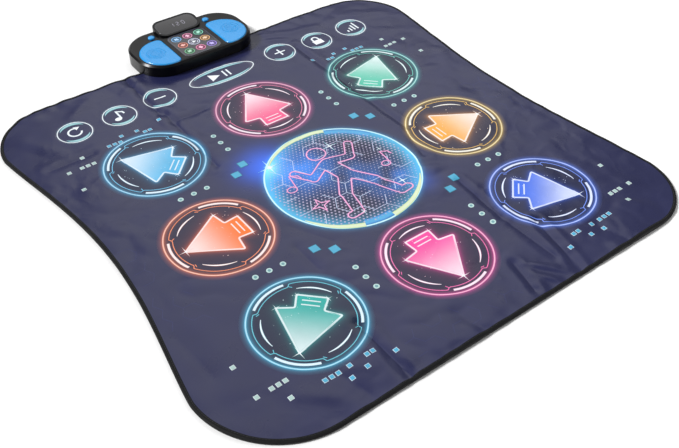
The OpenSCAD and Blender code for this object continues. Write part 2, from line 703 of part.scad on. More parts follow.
bottom_cover();
lower_film();
spacer();
upper_film();
foam();
top_cover();
edge_binding();
clamp_bar();
clamp_screws();
film_tail();
film_connector();
bottom_shell();
top_shell();
case_screws();
rubber_feet();
main_board();
board_components();
board_screws();
indicator_panel();
light_baffle();
indicator_leds();
display_lens();
display_module();
speaker_screws();
switch_boards();
tact_switches();
batteries();
battery_contacts();
battery_springs();
speaker_wires();
battery_wires();
battery_door();
door_screw();
key_start_pause();
for (a = ARROWS) arrow_pad(a[1], a[2]);
for (k = KEYS) round_key(k[1], k[2]);
for (s = SIDES) speaker_cover(s[1]);
for (s = SIDES) speaker_frame(s[1]);
for (s = SIDES) speaker_magnet(s[1]);
for (s = SIDES) speaker_cone(s[1]);
for (s = SIDES) push_button(s[1]);
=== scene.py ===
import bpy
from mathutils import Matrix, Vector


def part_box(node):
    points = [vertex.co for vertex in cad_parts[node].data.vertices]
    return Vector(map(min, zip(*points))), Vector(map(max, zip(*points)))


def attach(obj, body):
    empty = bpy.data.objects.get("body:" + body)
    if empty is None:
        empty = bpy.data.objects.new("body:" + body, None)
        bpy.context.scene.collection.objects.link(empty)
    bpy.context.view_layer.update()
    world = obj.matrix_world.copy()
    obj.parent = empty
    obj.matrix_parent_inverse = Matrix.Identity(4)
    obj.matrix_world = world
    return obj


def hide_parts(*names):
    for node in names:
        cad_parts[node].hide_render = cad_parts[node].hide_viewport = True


bl_info = {
    "name": "Dance rhythm machine",
    "version": (1, 0, 0),
    "blender": (4, 5, 0),
    "location": "3D View > Sidebar > Dance mat",
    "description": "A printed dance mat with fifteen touch zones and its control box",
    "category": "Add Mesh",
}

import math

import bmesh
import bpy
import numpy as np
from mathutils import Matrix, Vector
from mathutils.geometry import delaunay_2d_cdt
from mathutils.kdtree import KDTree

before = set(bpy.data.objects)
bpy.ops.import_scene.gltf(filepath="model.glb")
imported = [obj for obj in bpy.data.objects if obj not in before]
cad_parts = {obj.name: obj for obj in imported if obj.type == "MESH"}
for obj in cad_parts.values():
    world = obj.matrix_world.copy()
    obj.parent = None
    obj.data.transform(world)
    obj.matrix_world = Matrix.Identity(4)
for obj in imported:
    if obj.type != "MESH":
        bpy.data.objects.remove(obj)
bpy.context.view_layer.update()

# Every length below is in millimetres; a mesh is turned to metres when it is made.
MM = 0.001
MAT = "mat_and_box"


def extent(cad_node):
    """A CAD node's lowest and highest corner in millimetres."""
    low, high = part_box(cad_node)
    return np.array(low) / MM, np.array(high) / MM


def zone_of(cad_node):
    """Middle x and y and half sizes of a touch zone."""
    low, high = extent(cad_node)
    middle, half = (low + high) / 2, (high - low) / 2
    return middle[0], middle[1], half[0], half[1]


MAT_LOW, MAT_HIGH = extent("edge_binding")
COVER_LOW, COVER_HIGH = extent("top_cover")
BOX_LOW, BOX_HIGH = extent("top_shell")
Z_MAT = COVER_HIGH[2]
Z_COVER = COVER_LOW[2]
Z_LIP = MAT_HIGH[2]
CORNER_R = 115.0
CORNER_SOFT = 145.0
WAIST_LEFT, WAIST_RIGHT = 40.0, 27.0
WAIST_POWER = 1.2
BINDING_W = 10.0
BINDING_WALL = 1.2
FLAP_W = 6.4
SEAM = 0.03

# Each arrow pad: the way it points in degrees, its neon ring's colour and its arrow's colour
PADS = {
    "pad_up": (90, "#DE6AA0", "#F05A8C"),
    "pad_down": (-90, "#F058A8", "#F2409E"),
    "pad_left": (180, "#F08040", "#FA7420"),
    "pad_right": (0, "#DDB93A", "#F5A938"),
    "pad_up_left": (135, "#4FBCE8", "#4FB2E2"),
    "pad_up_right": (45, "#48BCB4", "#52C2A8"),
    "pad_down_left": (225, "#4AC4E8", "#1AA8A0"),
    "pad_down_right": (-45, "#5A86F5", "#3A6CE6"),
}
KEYS = [
    "key_start_pause", "key_volume_down", "key_volume_up", "key_mode", "key_lock", "key_memory", "key_level",
]
ZONES = {name: zone_of(name) for name in [*PADS, *KEYS]}


# ---------- settings that a user would change ----------

def rgb(code):
    """Linear red, green and blue from an sRGB hex value."""
    parts = [int(code[i:i + 2], 16) / 255 for i in (1, 3, 5)]
    return np.array([c / 12.92 if c <= 0.04045 else ((c + 0.055) / 1.055) ** 2.4 for c in parts])


def colour_setting(name, description, code):
    """A colour property with a hex default."""
    return bpy.props.FloatVectorProperty(
        name=name, description=description, default=tuple(rgb(code)), subtype="COLOR", size=3, min=0, max=1
    )


def length_setting(name, description, default, low, high):
    """A length property in metres from values in millimetres."""
    return bpy.props.FloatProperty(
        name=name, description=description, default=default * MM, min=low * MM, max=high * MM,
        subtype="DISTANCE", unit="LENGTH", precision=5,
    )


class MatSettings(bpy.types.PropertyGroup):
    """The soft mat's sizes and colours."""
    ground: colour_setting("Ground", "Printed ground colour of the mat", "#23264C")
    binding: colour_setting("Binding", "Colour of the edge binding", "#08090B")
    sheet_step: length_setting("Sheet step", "Distance between the printed sheet's points", 4.6, 3, 12)
    pad_step: length_setting("Pad step", "Distance between an arrow pad's points", 2.3, 1.5, 6)
    crease: bpy.props.FloatProperty(
        name="Creases", description="Strength of the fold lines left by packing", default=1.0, min=0, max=1.2
    )
    waves: bpy.props.FloatProperty(
        name="Waves", description="Strength of the sheet's soft waves", default=1.0, min=0, max=1.2
    )
    stitch_pitch: length_setting("Stitch pitch", "Distance between two stitches of the binding", 4.2, 2, 8)
    grip_pitch: length_setting("Grip dot pitch", "Distance between the dots under the mat", 15, 10, 30)


class BoxSettings(bpy.types.PropertyGroup):
    """The control box's sizes and colours."""
    shell: colour_setting("Shell", "Colour of the two shells", "#050507")
    accent: colour_setting("Accent", "Colour of the speaker covers and buttons", "#2299E2")
    hole_pitch: length_setting("Hole pitch", "Distance between a cover's sound holes", 2.7, 2, 4)
    hole_r: length_setting("Hole radius", "Radius of a cover's sound hole", 0.55, 0.3, 0.9)


class StageSettings(bpy.types.PropertyGroup):
    """The floor, the lights and the camera."""
    floor: colour_setting("Floor", "Colour of the floor", "#FFFFFF")
    lens: bpy.props.FloatProperty(
        name="Lens", description="Focal length on a 36 mm sensor", default=46.8, min=20, max=120,
        subtype="DISTANCE_CAMERA",
    )
    sky: bpy.props.FloatProperty(
        name="Sky", description="Strength of the even light all round", default=0.22, min=0, max=3
    )
    sun: bpy.props.FloatProperty(
        name="Main light", description="Strength of the broad light from the back left",
        default=3.3, min=0, max=20,
    )
    power: bpy.props.FloatProperty(
        name="Edge light", description="Power of the soft box that draws the bevels",
        default=9, min=0, max=500,
        subtype="POWER", unit="POWER",
    )
    sheen: bpy.props.FloatProperty(
        name="Sheen light",
        description="Power of the soft box behind, whose reflection shows the sheet's folds",
        default=17, min=0, max=500, subtype="POWER", unit="POWER",
    )


# ---------- outlines ----------

def half_width(y, left):
    """From the centre line to a side at y, between its corner arcs; left is true on the left side."""
    low = MAT_LOW[1] + np.where(left, CORNER_SOFT, CORNER_R)
    high = MAT_HIGH[1] - CORNER_R
    share = np.clip((y - (low + high) / 2) / (high - low), -0.5, 0.5)
    waist = np.where(left, WAIST_LEFT, WAIST_RIGHT)
    return MAT_HIGH[0] - waist * np.maximum(np.cos(np.pi * share), 0) ** WAIST_POWER


def arc(cx, cy, radius, start, span, steps):
    """Points of an arc, both ends included; angles in degrees."""
    turn = np.radians(start + span * np.linspace(0, 1, steps + 1))
    return np.column_stack([cx + radius * np.cos(turn), cy + radius * np.sin(turn)])


def mat_outline(inset, side=150, corner=44):
    """The mat's outline drawn in by inset, anticlockwise, with the same number of points for any inset."""
    low, soft_low, high = MAT_LOW[1] + CORNER_R, MAT_LOW[1] + CORNER_SOFT, MAT_HIGH[1] - CORNER_R
    cx, r = MAT_HIGH[0] - CORNER_R, CORNER_R - inset
    soft_cx = CORNER_SOFT - MAT_HIGH[0]
    y = np.linspace(low, high, side + 1)[1:-1]
    left_y = np.linspace(high, soft_low, side + 1)[1:-1]
    across = np.linspace(-cx, cx, side + 1)[1:-1]
    front = np.linspace(soft_cx, cx, side + 1)[1:-1]
    return np.vstack([
        np.column_stack([half_width(y, False) - inset, y]),
        arc(cx, high, r, 0, 90, corner),
        np.column_stack([-across, np.full(len(across), MAT_HIGH[1] - inset)]),
        arc(-cx, high, r, 90, 90, corner),
        np.column_stack([-half_width(left_y, True) + inset, left_y]),
        arc(soft_cx, soft_low, CORNER_SOFT - inset, 180, 90, corner),
        np.column_stack([front, np.full(len(front), MAT_LOW[1] + inset)]),
        arc(cx, low, r, 270, 90, corner),
    ])


def oval(cx, cy, a, b, count):
    """Points of an ellipse, anticlockwise."""
    turn = np.linspace(0, 2 * np.pi, count, endpoint=False)
    return np.column_stack([cx + a * np.cos(turn), cy + b * np.sin(turn)])


def zone_loop(name, margin):
    """A touch zone's outline, wider by margin, with about 2.4 mm between points."""
    cx, cy, a, b = ZONES[name]
    count = int(round(np.pi * (a + b) / 2.4))
    return oval(cx, cy, a + margin, b + margin, count)


def soft_rect(w, d, right_r, left_r, steps=12):
    """A rectangle about the origin with one radius for its right corners and one for its left."""
    return np.vstack([
        arc(w / 2 - right_r, d / 2 - right_r, right_r, 0, 90, steps),
        arc(-w / 2 + left_r, d / 2 - left_r, left_r, 90, 90, steps),
        arc(-w / 2 + left_r, -d / 2 + left_r, left_r, 180, 90, steps),
        arc(w / 2 - right_r, -d / 2 + right_r, right_r, 270, 90, steps),
    ])


def inside(loop, points):
    """True for the points that lie inside a closed loop."""
    found = np.zeros(len(points), bool)
    low, high = loop.min(0), loop.max(0)
    near = np.flatnonzero(((points >= low) & (points <= high)).all(1))
    x, y = points[near, 0], points[near, 1]
    odd = np.zeros(len(near), bool)
    for (x0, y0), (x1, y1) in zip(loop, np.roll(loop, -1, 0)):
        if y0 != y1:
            crosses = (y0 > y) != (y1 > y)
            odd ^= crosses & (x < (x1 - x0) * (y - y0) / (y1 - y0) + x0)
    found[near] = odd
    return found


def to_segment(x, y, x0, y0, x1, y1):
    """Distance to a segment, and how far along it the nearest point is, from 0 to 1."""
    dx, dy = x1 - x0, y1 - y0
    t = np.clip(((x - x0) * dx + (y - y0) * dy) / (dx * dx + dy * dy), 0, 1)
    return np.hypot(x - x0 - t * dx, y - y0 - t * dy), t


def ramp(value, low, high):
    """0 below low, 1 above high, smooth between."""
    t = np.clip((value - low) / (high - low), 0, 1)
    return t * t * (3 - 2 * t)


# ---------- how the sheet lies ----------

# Fold lines left by packing: start x and y, end x and y, depth, half width
CREASES = [
    (-163, 496, -163, 349, 1.2, 4), (-155, 349, -160, 150, 1.0, 4), (-166, -98, -166, -158, 0.7, 4),
    (-187, -278, -187, -400, 1.2, 4), (-146, -51, -111, -121, 0.6, 5), (178, 400, 178, 40, 1.4, 3.5),
    (170, 36, 147, -40, 0.9, 4), (149, -128, 140, -240, 1.3, 3.5),
    (140, -240, 143, -358, 0.8, 4), (180, -280, 153, -398, 1.7, 4),
    (-396, 313, -316, 313, 0.8, 4), (-156, 313, -89, 313, 0.8, 4), (81, -326, 65, -387, 1.3, 3.5),
    (356, 75, 403, 42, 0.9, 12), (316, -78, 403, -131, 0.9, 12), (-409, -145, -403, -238, 0.9, 10),
    (-250, -390, -262, -340, 0.7, 8), (250, -345, 262, -396, 0.8, 8), (-60, -345, -50, -398, 0.6, 8),
]
FOLD_DEPTH = 2.0
# Ripples that stand up: start x and y, end x and y, height, half width
RIPPLES = [
    (124, 482, 191, 455, 1.8, 7), (120, 462, 180, 430, 1.3, 7), (191, 449, 257, 442, 1.6, 9),
    (324, 442, 410, 402, 1.5, 12), (-125, 470, -190, 452, 1.4, 8), (-250, 470, -300, 440, 1.2, 12),
    (92, -338, 128, -372, 1.5, 5), (100, -352, 132, -388, 1.6, 5), (86, -362, 108, -394, 1.6, 6),
    (-120, -372, -40, -392, 1.0, 12),
    (330, -190, 345, -240, 1.0, 14), (-380, 120, -350, 60, 1.0, 16), (-400, 410, -360, 350, 1.2, 14),
    (385, 160, 420, 230, 1.2, 14), (-330, -330, -280, -372, 1.2, 14), (300, -330, 352, -360, 1.2, 14),
]
WAVE_SEED = 7


def wave_set(seed, count, short, long):
    """Directions, lengths and phases of a band of soft waves."""
    dice = np.random.default_rng(seed)
    heading = dice.uniform(0, np.pi, count)
    length = dice.uniform(short, long, count)
    return (
        np.cos(heading) * 2 * np.pi / length,
        np.sin(heading) * 2 * np.pi / length,
        dice.uniform(0, 6.28, count),
    )


BROAD_WAVES = wave_set(WAVE_SEED, 9, 150, 320)
FINE_WAVES = wave_set(WAVE_SEED + 1, 12, 45, 95)
FOLD_WAVES = wave_set(WAVE_SEED + 2, 9, 130, 260)
PATCH_WAVES = wave_set(WAVE_SEED + 3, 7, 200, 420)
PUCKER_WAVES = wave_set(WAVE_SEED + 4, 8, 24, 48)


def band(waves, x, y):
    """Sum of a band of waves, about -1 to 1."""
    total = sum(np.cos(kx * x + ky * y + phase) for kx, ky, phase in zip(*waves))
    return total / (1.6 * math.sqrt(len(waves[0])))


def lay(x, y):
    """Height of the sheet over its flat state."""
    settings = bpy.context.scene.dance_mat
    x, y = np.asarray(x, float), np.asarray(y, float)
    crumple = ramp(band(PATCH_WAVES, x, y), -0.5, 0.6)
    side = half_width(y, x < 0)
    height = settings.waves * (0.8 * band(BROAD_WAVES, x, y) + 0.35 * band(FINE_WAVES, x, y))
    sharp = 2.2 * np.abs(band(FOLD_WAVES, x, y)) + 1.5 * np.abs(band(FINE_WAVES, x, y))
    height += settings.waves * crumple * sharp
    rim = np.minimum(side - np.abs(x), np.minimum(y - MAT_LOW[1], MAT_HIGH[1] - y))
    height += settings.waves * 1.1 * band(PUCKER_WAVES, x, y) * np.exp(-np.maximum(rim, 0) / 16)
    on_pad = np.zeros(len(x)) if x.ndim else 0.0
    for cx, cy, a, b in ZONES.values():
        on_pad = np.maximum(on_pad, 1 - ramp(np.hypot((x - cx) / a, (y - cy) / b), 0.8, 1.15))
    height = height * (1 - 0.6 * on_pad)
    for x0, y0, x1, y1, rise, width in RIPPLES:
        away, t = to_segment(x, y, x0, y0, x1, y1)
        swell = 0.55 + 0.45 * np.sin(np.pi * t)
        height += settings.waves * 1.6 * rise * np.exp(-(away / width) ** 2) * swell
    for x0, y0, x1, y1, depth, width in CREASES:
        away, _ = to_segment(x, y, x0, y0, x1, y1)
        groove = np.exp(-away / (1.3 * width)) - 0.4 * np.exp(-((away - 3.6 * width) / (2.0 * width)) ** 2)
        height -= settings.crease * FOLD_DEPTH * depth * groove
    # The mat lies flat and pressed under the control box
    off_box = ramp(np.hypot(np.maximum(np.abs(x) - BOX_HIGH[0], 0), np.maximum(BOX_LOW[1] - y, 0)), 1, 26)
    edge = ramp(side - np.abs(x), 0, 60)
    height = np.clip(height * (0.55 + 0.45 * edge), -1.9, 3.2)
    return height * off_box + np.minimum(height, 0.3) * (1 - off_box) * 0.3


def on_mat(x, y):
    """Height of the sheet's upper face."""
    return Z_MAT + lay(x, y)


# ---------- mesh helpers ----------

def lattice(low, high, step):
    """Points of a staggered lattice over a box."""
    rows = np.arange(low[1], high[1] + step, step * 0.866)
    columns = np.arange(low[0], high[0] + step, step)
    x, y = np.meshgrid(columns, rows)
    x[1::2] += step / 2
    return np.column_stack([x.ravel(), y.ravel()])


def without_repeats(loop):
    """A loop without the points that repeat the one before."""
    return loop[np.r_[True, np.any(np.diff(loop, axis=0) != 0, axis=1)]]


def patch(loops, step, finer=None, extra=()):
    """Points and triangles inside the first loop and outside the others; finer is a radius round the
    origin and the step within it; extra are more points to use."""
    rim = np.vstack(loops)
    low, high = loops[0].min(0), loops[0].max(0)
    dots = lattice(low, high, step)
    if finer:
        radius, small = finer
        close = lattice((-radius, -radius), (radius, radius), small)
        dots = np.vstack([
            dots[np.hypot(*dots.T) > radius],
            close[np.hypot(*close.T) <= radius - small / 2],
        ])
    dots = dots[inside(loops[0], dots)]
    for hole in loops[1:]:
        dots = dots[~inside(hole, dots)]
    fixed = np.vstack([rim, *extra])
    tree = KDTree(len(fixed))
    for i, (x, y) in enumerate(fixed):
        tree.insert((x, y, 0), i)
    tree.balance()
    clear = np.array([tree.find((x, y, 0))[2] > 0.6 * step for x, y in dots], bool)
    points = np.vstack([fixed, dots[clear]]) if len(dots) else fixed
    edges, start = [], 0
    for loop in loops:
        count = len(loop)
        edges += [(start + i, start + (i + 1) % count) for i in range(count)]
        start += count
    made = delaunay_2d_cdt([Vector(p) for p in points], edges, [], 0, 1e-4)
    flat = np.array([v[:] for v in made[0]])
    tris = np.array(made[2])
    middle = flat[tris].mean(1)
    keep = inside(loops[0], middle)
    for hole in loops[1:]:
        keep &= ~inside(hole, middle)
    tris = tris[keep]
    a, b, c = flat[tris[:, 0]], flat[tris[:, 1]], flat[tris[:, 2]]
    turned = (b[:, 0] - a[:, 0]) * (c[:, 1] - a[:, 1]) - (b[:, 1] - a[:, 1]) * (c[:, 0] - a[:, 0]) < 0
    tris[turned] = tris[turned][:, ::-1]
    return flat, tris


def thicken(flat, tris, top, bottom):
    """Points and triangles of a closed solid between the heights top and bottom over a flat patch."""
    count = len(flat)
    points = np.vstack([np.column_stack([flat, top]), np.column_stack([flat, bottom])])
    sides = np.vstack([tris[:, [0, 1]], tris[:, [1, 2]], tris[:, [2, 0]]])
    key = np.sort(sides, 1) @ np.array([count, 1])
    _, first, times = np.unique(key, return_index=True, return_counts=True)
    a, b = sides[first[times == 1]].T
    walls = np.vstack([np.column_stack([a, a + count, b + count]), np.column_stack([a, b + count, b])])
    return points, np.vstack([tris, tris[:, ::-1] + count, walls])


def mesh_of(name, points, faces, material, paint=None, sharp=40):
    """A smooth-shaded mesh in metres from points in millimetres; paint is each point's linear colour."""
    mesh = bpy.data.meshes.new(name)
    mesh.from_pydata((np.asarray(points) * MM).tolist(), [], [list(map(int, f)) for f in faces])
    mesh.materials.append(material)
    if paint is not None:
        colours = mesh.color_attributes.new("Print", "FLOAT_COLOR", "POINT")
        colours.data.foreach_set("color", np.column_stack([paint, np.ones(len(paint))]).astype("f").ravel())
    mesh.update()
    smooth(mesh, sharp)
    return mesh


def smooth(mesh, sharp=40):
    """Smooth shading that stays crisp where two faces meet at more than sharp degrees."""
    mesh.polygons.foreach_set("use_smooth", [True] * len(mesh.polygons))
    mesh.set_sharp_from_angle(angle=math.radians(sharp))


def put(mesh, body=MAT, stands_for=()):
    """Makes a mesh a piece that rides on a body."""
    piece = bpy.data.objects.new(mesh.name, mesh)
    bpy.context.collection.objects.link(piece)
    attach(piece, body)
    if stands_for:
        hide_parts(*stands_for)
    return piece


def loft(loops):
    """Points and faces of a closed solid through loops of the same number of 3-D points, lowest first."""
    count = len(loops[0])
    points = np.vstack(loops)
    faces = [list(range(count))[::-1]]
    for k in range(len(loops) - 1):
        a, b = k * count, (k + 1) * count
        faces += [[a + i, a + (i + 1) % count, b + (i + 1) % count, b + i] for i in range(count)]
    faces.append([len(points) - count + i for i in range(count)])
    return points, faces


def plate(w, d, right_r, left_r, z0, z1, edge, steps=12):
    """Points and faces of a flat plate whose upper edge is rounded by edge."""
    loops = [(0, z0), (0, z1 - edge)]
    loops += [(edge * (1 - math.cos(t)), z1 - edge * (1 - math.sin(t))) for t in np.radians([22, 45, 68, 90])]
    rings = []
    for s, z in loops:
        outline = soft_rect(w - 2 * s, d - 2 * s, right_r - s, left_r - s, steps)
        rings.append(np.column_stack([outline, np.full(len(outline), z)]))
    return loft(rings)


def refined(name, nodes, material, body=MAT, round_by=0.35, segments=2):
    """CAD parts as one clean mesh with rounded edges, in place of their plain nodes."""
    shape = bmesh.new()
    for cad_node in nodes:
        shape.from_mesh(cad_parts[cad_node].data)
    bmesh.ops.remove_doubles(shape, verts=shape.verts, dist=2e-6)
    bmesh.ops.dissolve_limit(
        shape, angle_limit=math.radians(0.8), use_dissolve_boundaries=False,
        verts=shape.verts, edges=shape.edges,
    )
    mesh = bpy.data.meshes.new(name)
    shape.to_mesh(mesh)
    shape.free()
    mesh.materials.clear()
    mesh.materials.append(material)
    smooth(mesh, 32)
    piece = put(mesh, body, nodes)
    if round_by:
        bevel = piece.modifiers.new("Rounded edges", "BEVEL")
        bevel.width = round_by * MM
        bevel.segments = segments
        bevel.limit_method = "ANGLE"
        bevel.angle_limit = math.radians(40)
        bevel.harden_normals = True
    return piece


# ---------- printed ink ----------

class Ink:
    """Printed shapes on a surface, gathered into one piece.

    Each is a thin closed layer with its own colours."""

    def __init__(self):
        self.flat, self.lift, self.paint, self.tris = [], [], [], []
        self.count = 0

    def add(self, flat, tris, paint, lift):
        """Adds flat points and triangles; paint is one colour or one for each point."""
        self.flat.append(flat)
        self.tris.append(np.asarray(tris) + self.count)
        self.lift.append(np.full(len(flat), float(lift)))
        self.paint.append(np.broadcast_to(paint, (len(flat), 3)))
        self.count += len(flat)

    def line(self, path, width, core, edge, lift=0.16, closed=False):
        """A stroke along a path, core-coloured in its middle and edge-coloured at its sides."""
        path = np.asarray(path, float)
        ahead = np.roll(path, -1, 0) - path
        behind = path - np.roll(path, 1, 0)
        if not closed:
            ahead[-1], behind[0] = behind[-1], ahead[0]
        way = ahead / np.linalg.norm(ahead, axis=1)[:, None]
        way = way + behind / np.linalg.norm(behind, axis=1)[:, None]
        size = np.linalg.norm(way, axis=1)[:, None]
        side = np.column_stack([-way[:, 1], way[:, 0]]) / np.maximum(size, 1e-6)
        reach = np.minimum(2 / np.maximum(size, 0.9), 2)
        half = np.broadcast_to(np.asarray(width, float) / 2, (len(path),))[:, None] * reach
        rows = [path + side * half * k for k in (-1, -0.45, 0.45, 1)]
        count = len(path)
        tris = []
        for i in range(count if closed else count - 1):
            j = (i + 1) % count
            for r in range(3):
                a, b, c, d = r * count + i, r * count + j, (r + 1) * count + j, (r + 1) * count + i
                tris += [(a, b, c), (a, c, d)]
        paint = np.vstack([np.broadcast_to(c, (count, 3)) for c in (edge, core, core, edge)])
        self.add(np.vstack(rows), tris, paint, lift)

    def fill(self, loop, paint, lift=0.1, step=3.0):
        """A filled shape; paint is a colour or a function of x and y."""
        flat, tris = patch([np.asarray(loop, float)], step)
        self.add(flat, tris, paint(flat[:, 0], flat[:, 1]) if callable(paint) else paint, lift)

    def star(self, x, y, ray, core, glow, waist=0.09, turn=0):
        """A four-pointed sparkle."""
        angles = np.radians(np.arange(8) * 45 + turn)
        reach = np.where(np.arange(8) % 2 == 0, ray, ray * waist)
        rim = np.column_stack([x + reach * np.cos(angles), y + reach * np.sin(angles)])
        paint = np.vstack([core, np.where((np.arange(8) % 2 == 0)[:, None], glow, core)])
        self.add(np.vstack([[x, y], rim]), [(0, 1 + i, 1 + (i + 1) % 8) for i in range(8)], paint, 0.3)

    def piece(self, name, material, slot, body=MAT, under=on_mat, place=None):
        """All of it as one piece on the surface under."""
        flat, lift = np.vstack(self.flat), np.concatenate(self.lift)
        ground = under(flat[:, 0], flat[:, 1])
        points, tris = thicken(flat, np.vstack(self.tris), ground + lift, ground - 0.05)
        if place is not None:
            points = points @ np.array(place.to_3x3()).T + np.array(place.translation)
        paint = np.clip(np.vstack(self.paint), 0, 1)
        return put(mesh_of(name, points, tris, material, np.vstack([paint, paint])), body)


def mix(a, b, t):
    """A colour between a and b; t may be one number for each point."""
    t = np.asarray(t, float)[..., None]
    return a * (1 - t) + b * t


def rounded(corners, radius, steps=4):
    """A polygon whose corners are rounded."""
    corners = np.asarray(corners, float)
    found = []
    for before, here, after in zip(np.roll(corners, 1, 0), corners, np.roll(corners, -1, 0)):
        back, on = before - here, after - here
        start = here + back / np.linalg.norm(back) * radius
        end = here + on / np.linalg.norm(on) * radius
        for t in np.linspace(0, 1, steps):
            found.append((1 - t) ** 2 * start + 2 * t * (1 - t) * here + t * t * end)
    return np.array(found)


def dense(path, step, closed=False):
    """The same path with points no further apart than step."""
    path = np.asarray(path, float)
    ends = np.roll(path, -1, 0) if closed else path[1:]
    found = []
    for a, b in zip(path, ends):
        parts = max(1, int(math.ceil(np.linalg.norm(b - a) / step)))
        found += [a + (b - a) * i / parts for i in range(parts)]
    if not closed:
        found.append(path[-1])
    return np.array(found)


def turned(points, degrees, x=0.0, y=0.0):
    """Points turned about the origin and then moved to x, y."""
    c, s = math.cos(math.radians(degrees)), math.sin(math.radians(degrees))
    return np.asarray(points) @ np.array([[c, s], [-s, c]]) + (x, y)


# ---------- node trees ----------

def node(tree, kind, settings=None, inputs=None):
    """Adds a node with its settings, and sets or links its inputs."""
    made = tree.nodes.new(kind)
    for key, value in (settings or {}).items():
        setattr(made, key, value)
    for key, value in (inputs or {}).items():
        if isinstance(value, bpy.types.NodeSocket):
            tree.links.new(value, made.inputs[key])
        else:
            made.inputs[key].default_value = value
    return made


def out_of(made):
    """A node's first output that is in use."""
    return next(socket for socket in made.outputs if socket.enabled)


def finish(name, colour, gloss, sockets=None, grain=(0.8, 0.02), patches=(45, 0.1), weave=None, crumple=None):
    """A procedural finish.

    colour is a hex value, a linear colour or None for the printed colours; gloss is the roughness and how
    far it wanders; sockets go to the shader; grain is a fine bump's size and depth; patches is the size and
    strength of a slow change of shade; weave is a thread spacing and its depth; crumple is the spacing and
    depth of small sharp wrinkles."""
    material = bpy.data.materials.new(name)
    material.use_nodes = True
    tree = material.node_tree
    shader = tree.nodes["Principled BSDF"]
    where = node(tree, "ShaderNodeTexCoord").outputs["Object"]
    slow = node(tree, "ShaderNodeTexNoise", None, {
        "Vector": where, "Scale": 1 / (patches[0] * MM), "Detail": 3.0,
    })
    fine = node(tree, "ShaderNodeTexNoise", None, {
        "Vector": where, "Scale": 1 / (grain[0] * MM), "Detail": 2.0,
    })
    height = fine.outputs["Fac"]
    if weave:
        bands = [
            node(tree, "ShaderNodeTexWave", {"bands_direction": axis}, {
                "Vector": where, "Scale": 0.31 / (weave[0] * MM), "Distortion": 0.6, "Detail": 1.0,
            }).outputs["Fac"] for axis in ("X", "Y")
        ]
        crossed = node(tree, "ShaderNodeMath", {"operation": "MULTIPLY"}, {0: bands[0], 1: bands[1]})
        height = crossed.outputs[0]
    bump = node(tree, "ShaderNodeBump", None, {
        "Height": height, "Distance": (weave or grain)[1] * MM, "Strength": 0.8,
    })
    if crumple:
        drift = node(tree, "ShaderNodeTexNoise", None, {
            "Vector": where, "Scale": 1 / (crumple[0] * MM), "Detail": 2.0,
        })
        bent = node(tree, "ShaderNodeVectorMath", {"operation": "MULTIPLY_ADD"}, {
            0: drift.outputs["Color"], 1: (crumple[0] * MM * 1.6,) * 3, 2: where,
        })
        cells = node(tree, "ShaderNodeTexVoronoi", {"feature": "DISTANCE_TO_EDGE"}, {
            "Vector": bent.outputs["Vector"], "Scale": 1 / (crumple[0] * MM),
        })
        facet = node(tree, "ShaderNodeMapRange", {"interpolation_type": "SMOOTHSTEP"}, {
            "Value": cells.outputs["Distance"], "From Min": 0.0, "From Max": 0.35,
        })
        area = node(tree, "ShaderNodeTexNoise", None, {
            "Vector": where, "Scale": 0.2 / (crumple[0] * MM), "Detail": 1.0,
        })
        share = node(tree, "ShaderNodeMapRange", None, {
            "Value": area.outputs["Fac"], "From Min": 0.42, "From Max": 0.6,
        })
        rise = node(tree, "ShaderNodeMath", {"operation": "MULTIPLY"}, {
            0: facet.outputs["Result"], 1: share.outputs["Result"],
        })
        bump = node(tree, "ShaderNodeBump", None, {
            "Height": rise.outputs[0], "Distance": crumple[1] * MM, "Strength": 1.0,
            "Normal": bump.outputs["Normal"],
        })
    wander = node(tree, "ShaderNodeMapRange", None, {
        "Value": slow.outputs["Fac"], "From Min": 0.3, "From Max": 0.7,
        "To Min": gloss[0] - gloss[1], "To Max": gloss[0] + gloss[1],
    })
    if colour is None:
        printed = node(tree, "ShaderNodeVertexColor", {"layer_name": "Print"}).outputs["Color"]
        shade = node(tree, "ShaderNodeMapRange", None, {
            "Value": slow.outputs["Fac"], "From Min": 0.3, "From Max": 0.7,
            "To Min": 1 - patches[1], "To Max": 1 + patches[1],
        })
        tinted = node(tree, "ShaderNodeVectorMath", {"operation": "SCALE"}, {
            0: printed, "Scale": shade.outputs["Result"],
        }).outputs["Vector"]
    else:
        base = rgb(colour) if isinstance(colour, str) else np.array(colour)
        tinted = node(tree, "ShaderNodeMix", {"data_type": "RGBA"}, {
            0: slow.outputs["Fac"],
            6: (*(base * (1 - patches[1])), 1),
            7: (*np.minimum(base * (1 + patches[1]), 1), 1),
        }).outputs[2]
    tree.links.new(tinted, shader.inputs["Base Color"])
    tree.links.new(wander.outputs["Result"], shader.inputs["Roughness"])
    tree.links.new(bump.outputs["Normal"], shader.inputs["Normal"])
    for key, value in (sockets or {}).items():
        shader.inputs[key].default_value = value
    return material


def material_of(name):
    """A finish by its short name, made when it is first asked for."""
    title, colour, *looks = FINISHES[name]
    mat, box = bpy.context.scene.dance_mat, bpy.context.scene.dance_box
    colour = {"tape": mat.binding, "abs": box.shell, "accent": box.accent}.get(name, colour)
    return bpy.data.materials.get(title) or finish(title, colour, *looks)


def new_tree(name, inputs):
    """An empty geometry tree with named inputs, and its input node's sockets."""
    tree = bpy.data.node_groups.new(name, "GeometryNodeTree")
    tree.interface.new_socket("Geometry", in_out="INPUT", socket_type="NodeSocketGeometry")
    for label, kind in inputs:
        tree.interface.new_socket(label, in_out="INPUT", socket_type=kind)
    tree.interface.new_socket("Geometry", in_out="OUTPUT", socket_type="NodeSocketGeometry")
    return tree, node(tree, "NodeGroupInput").outputs


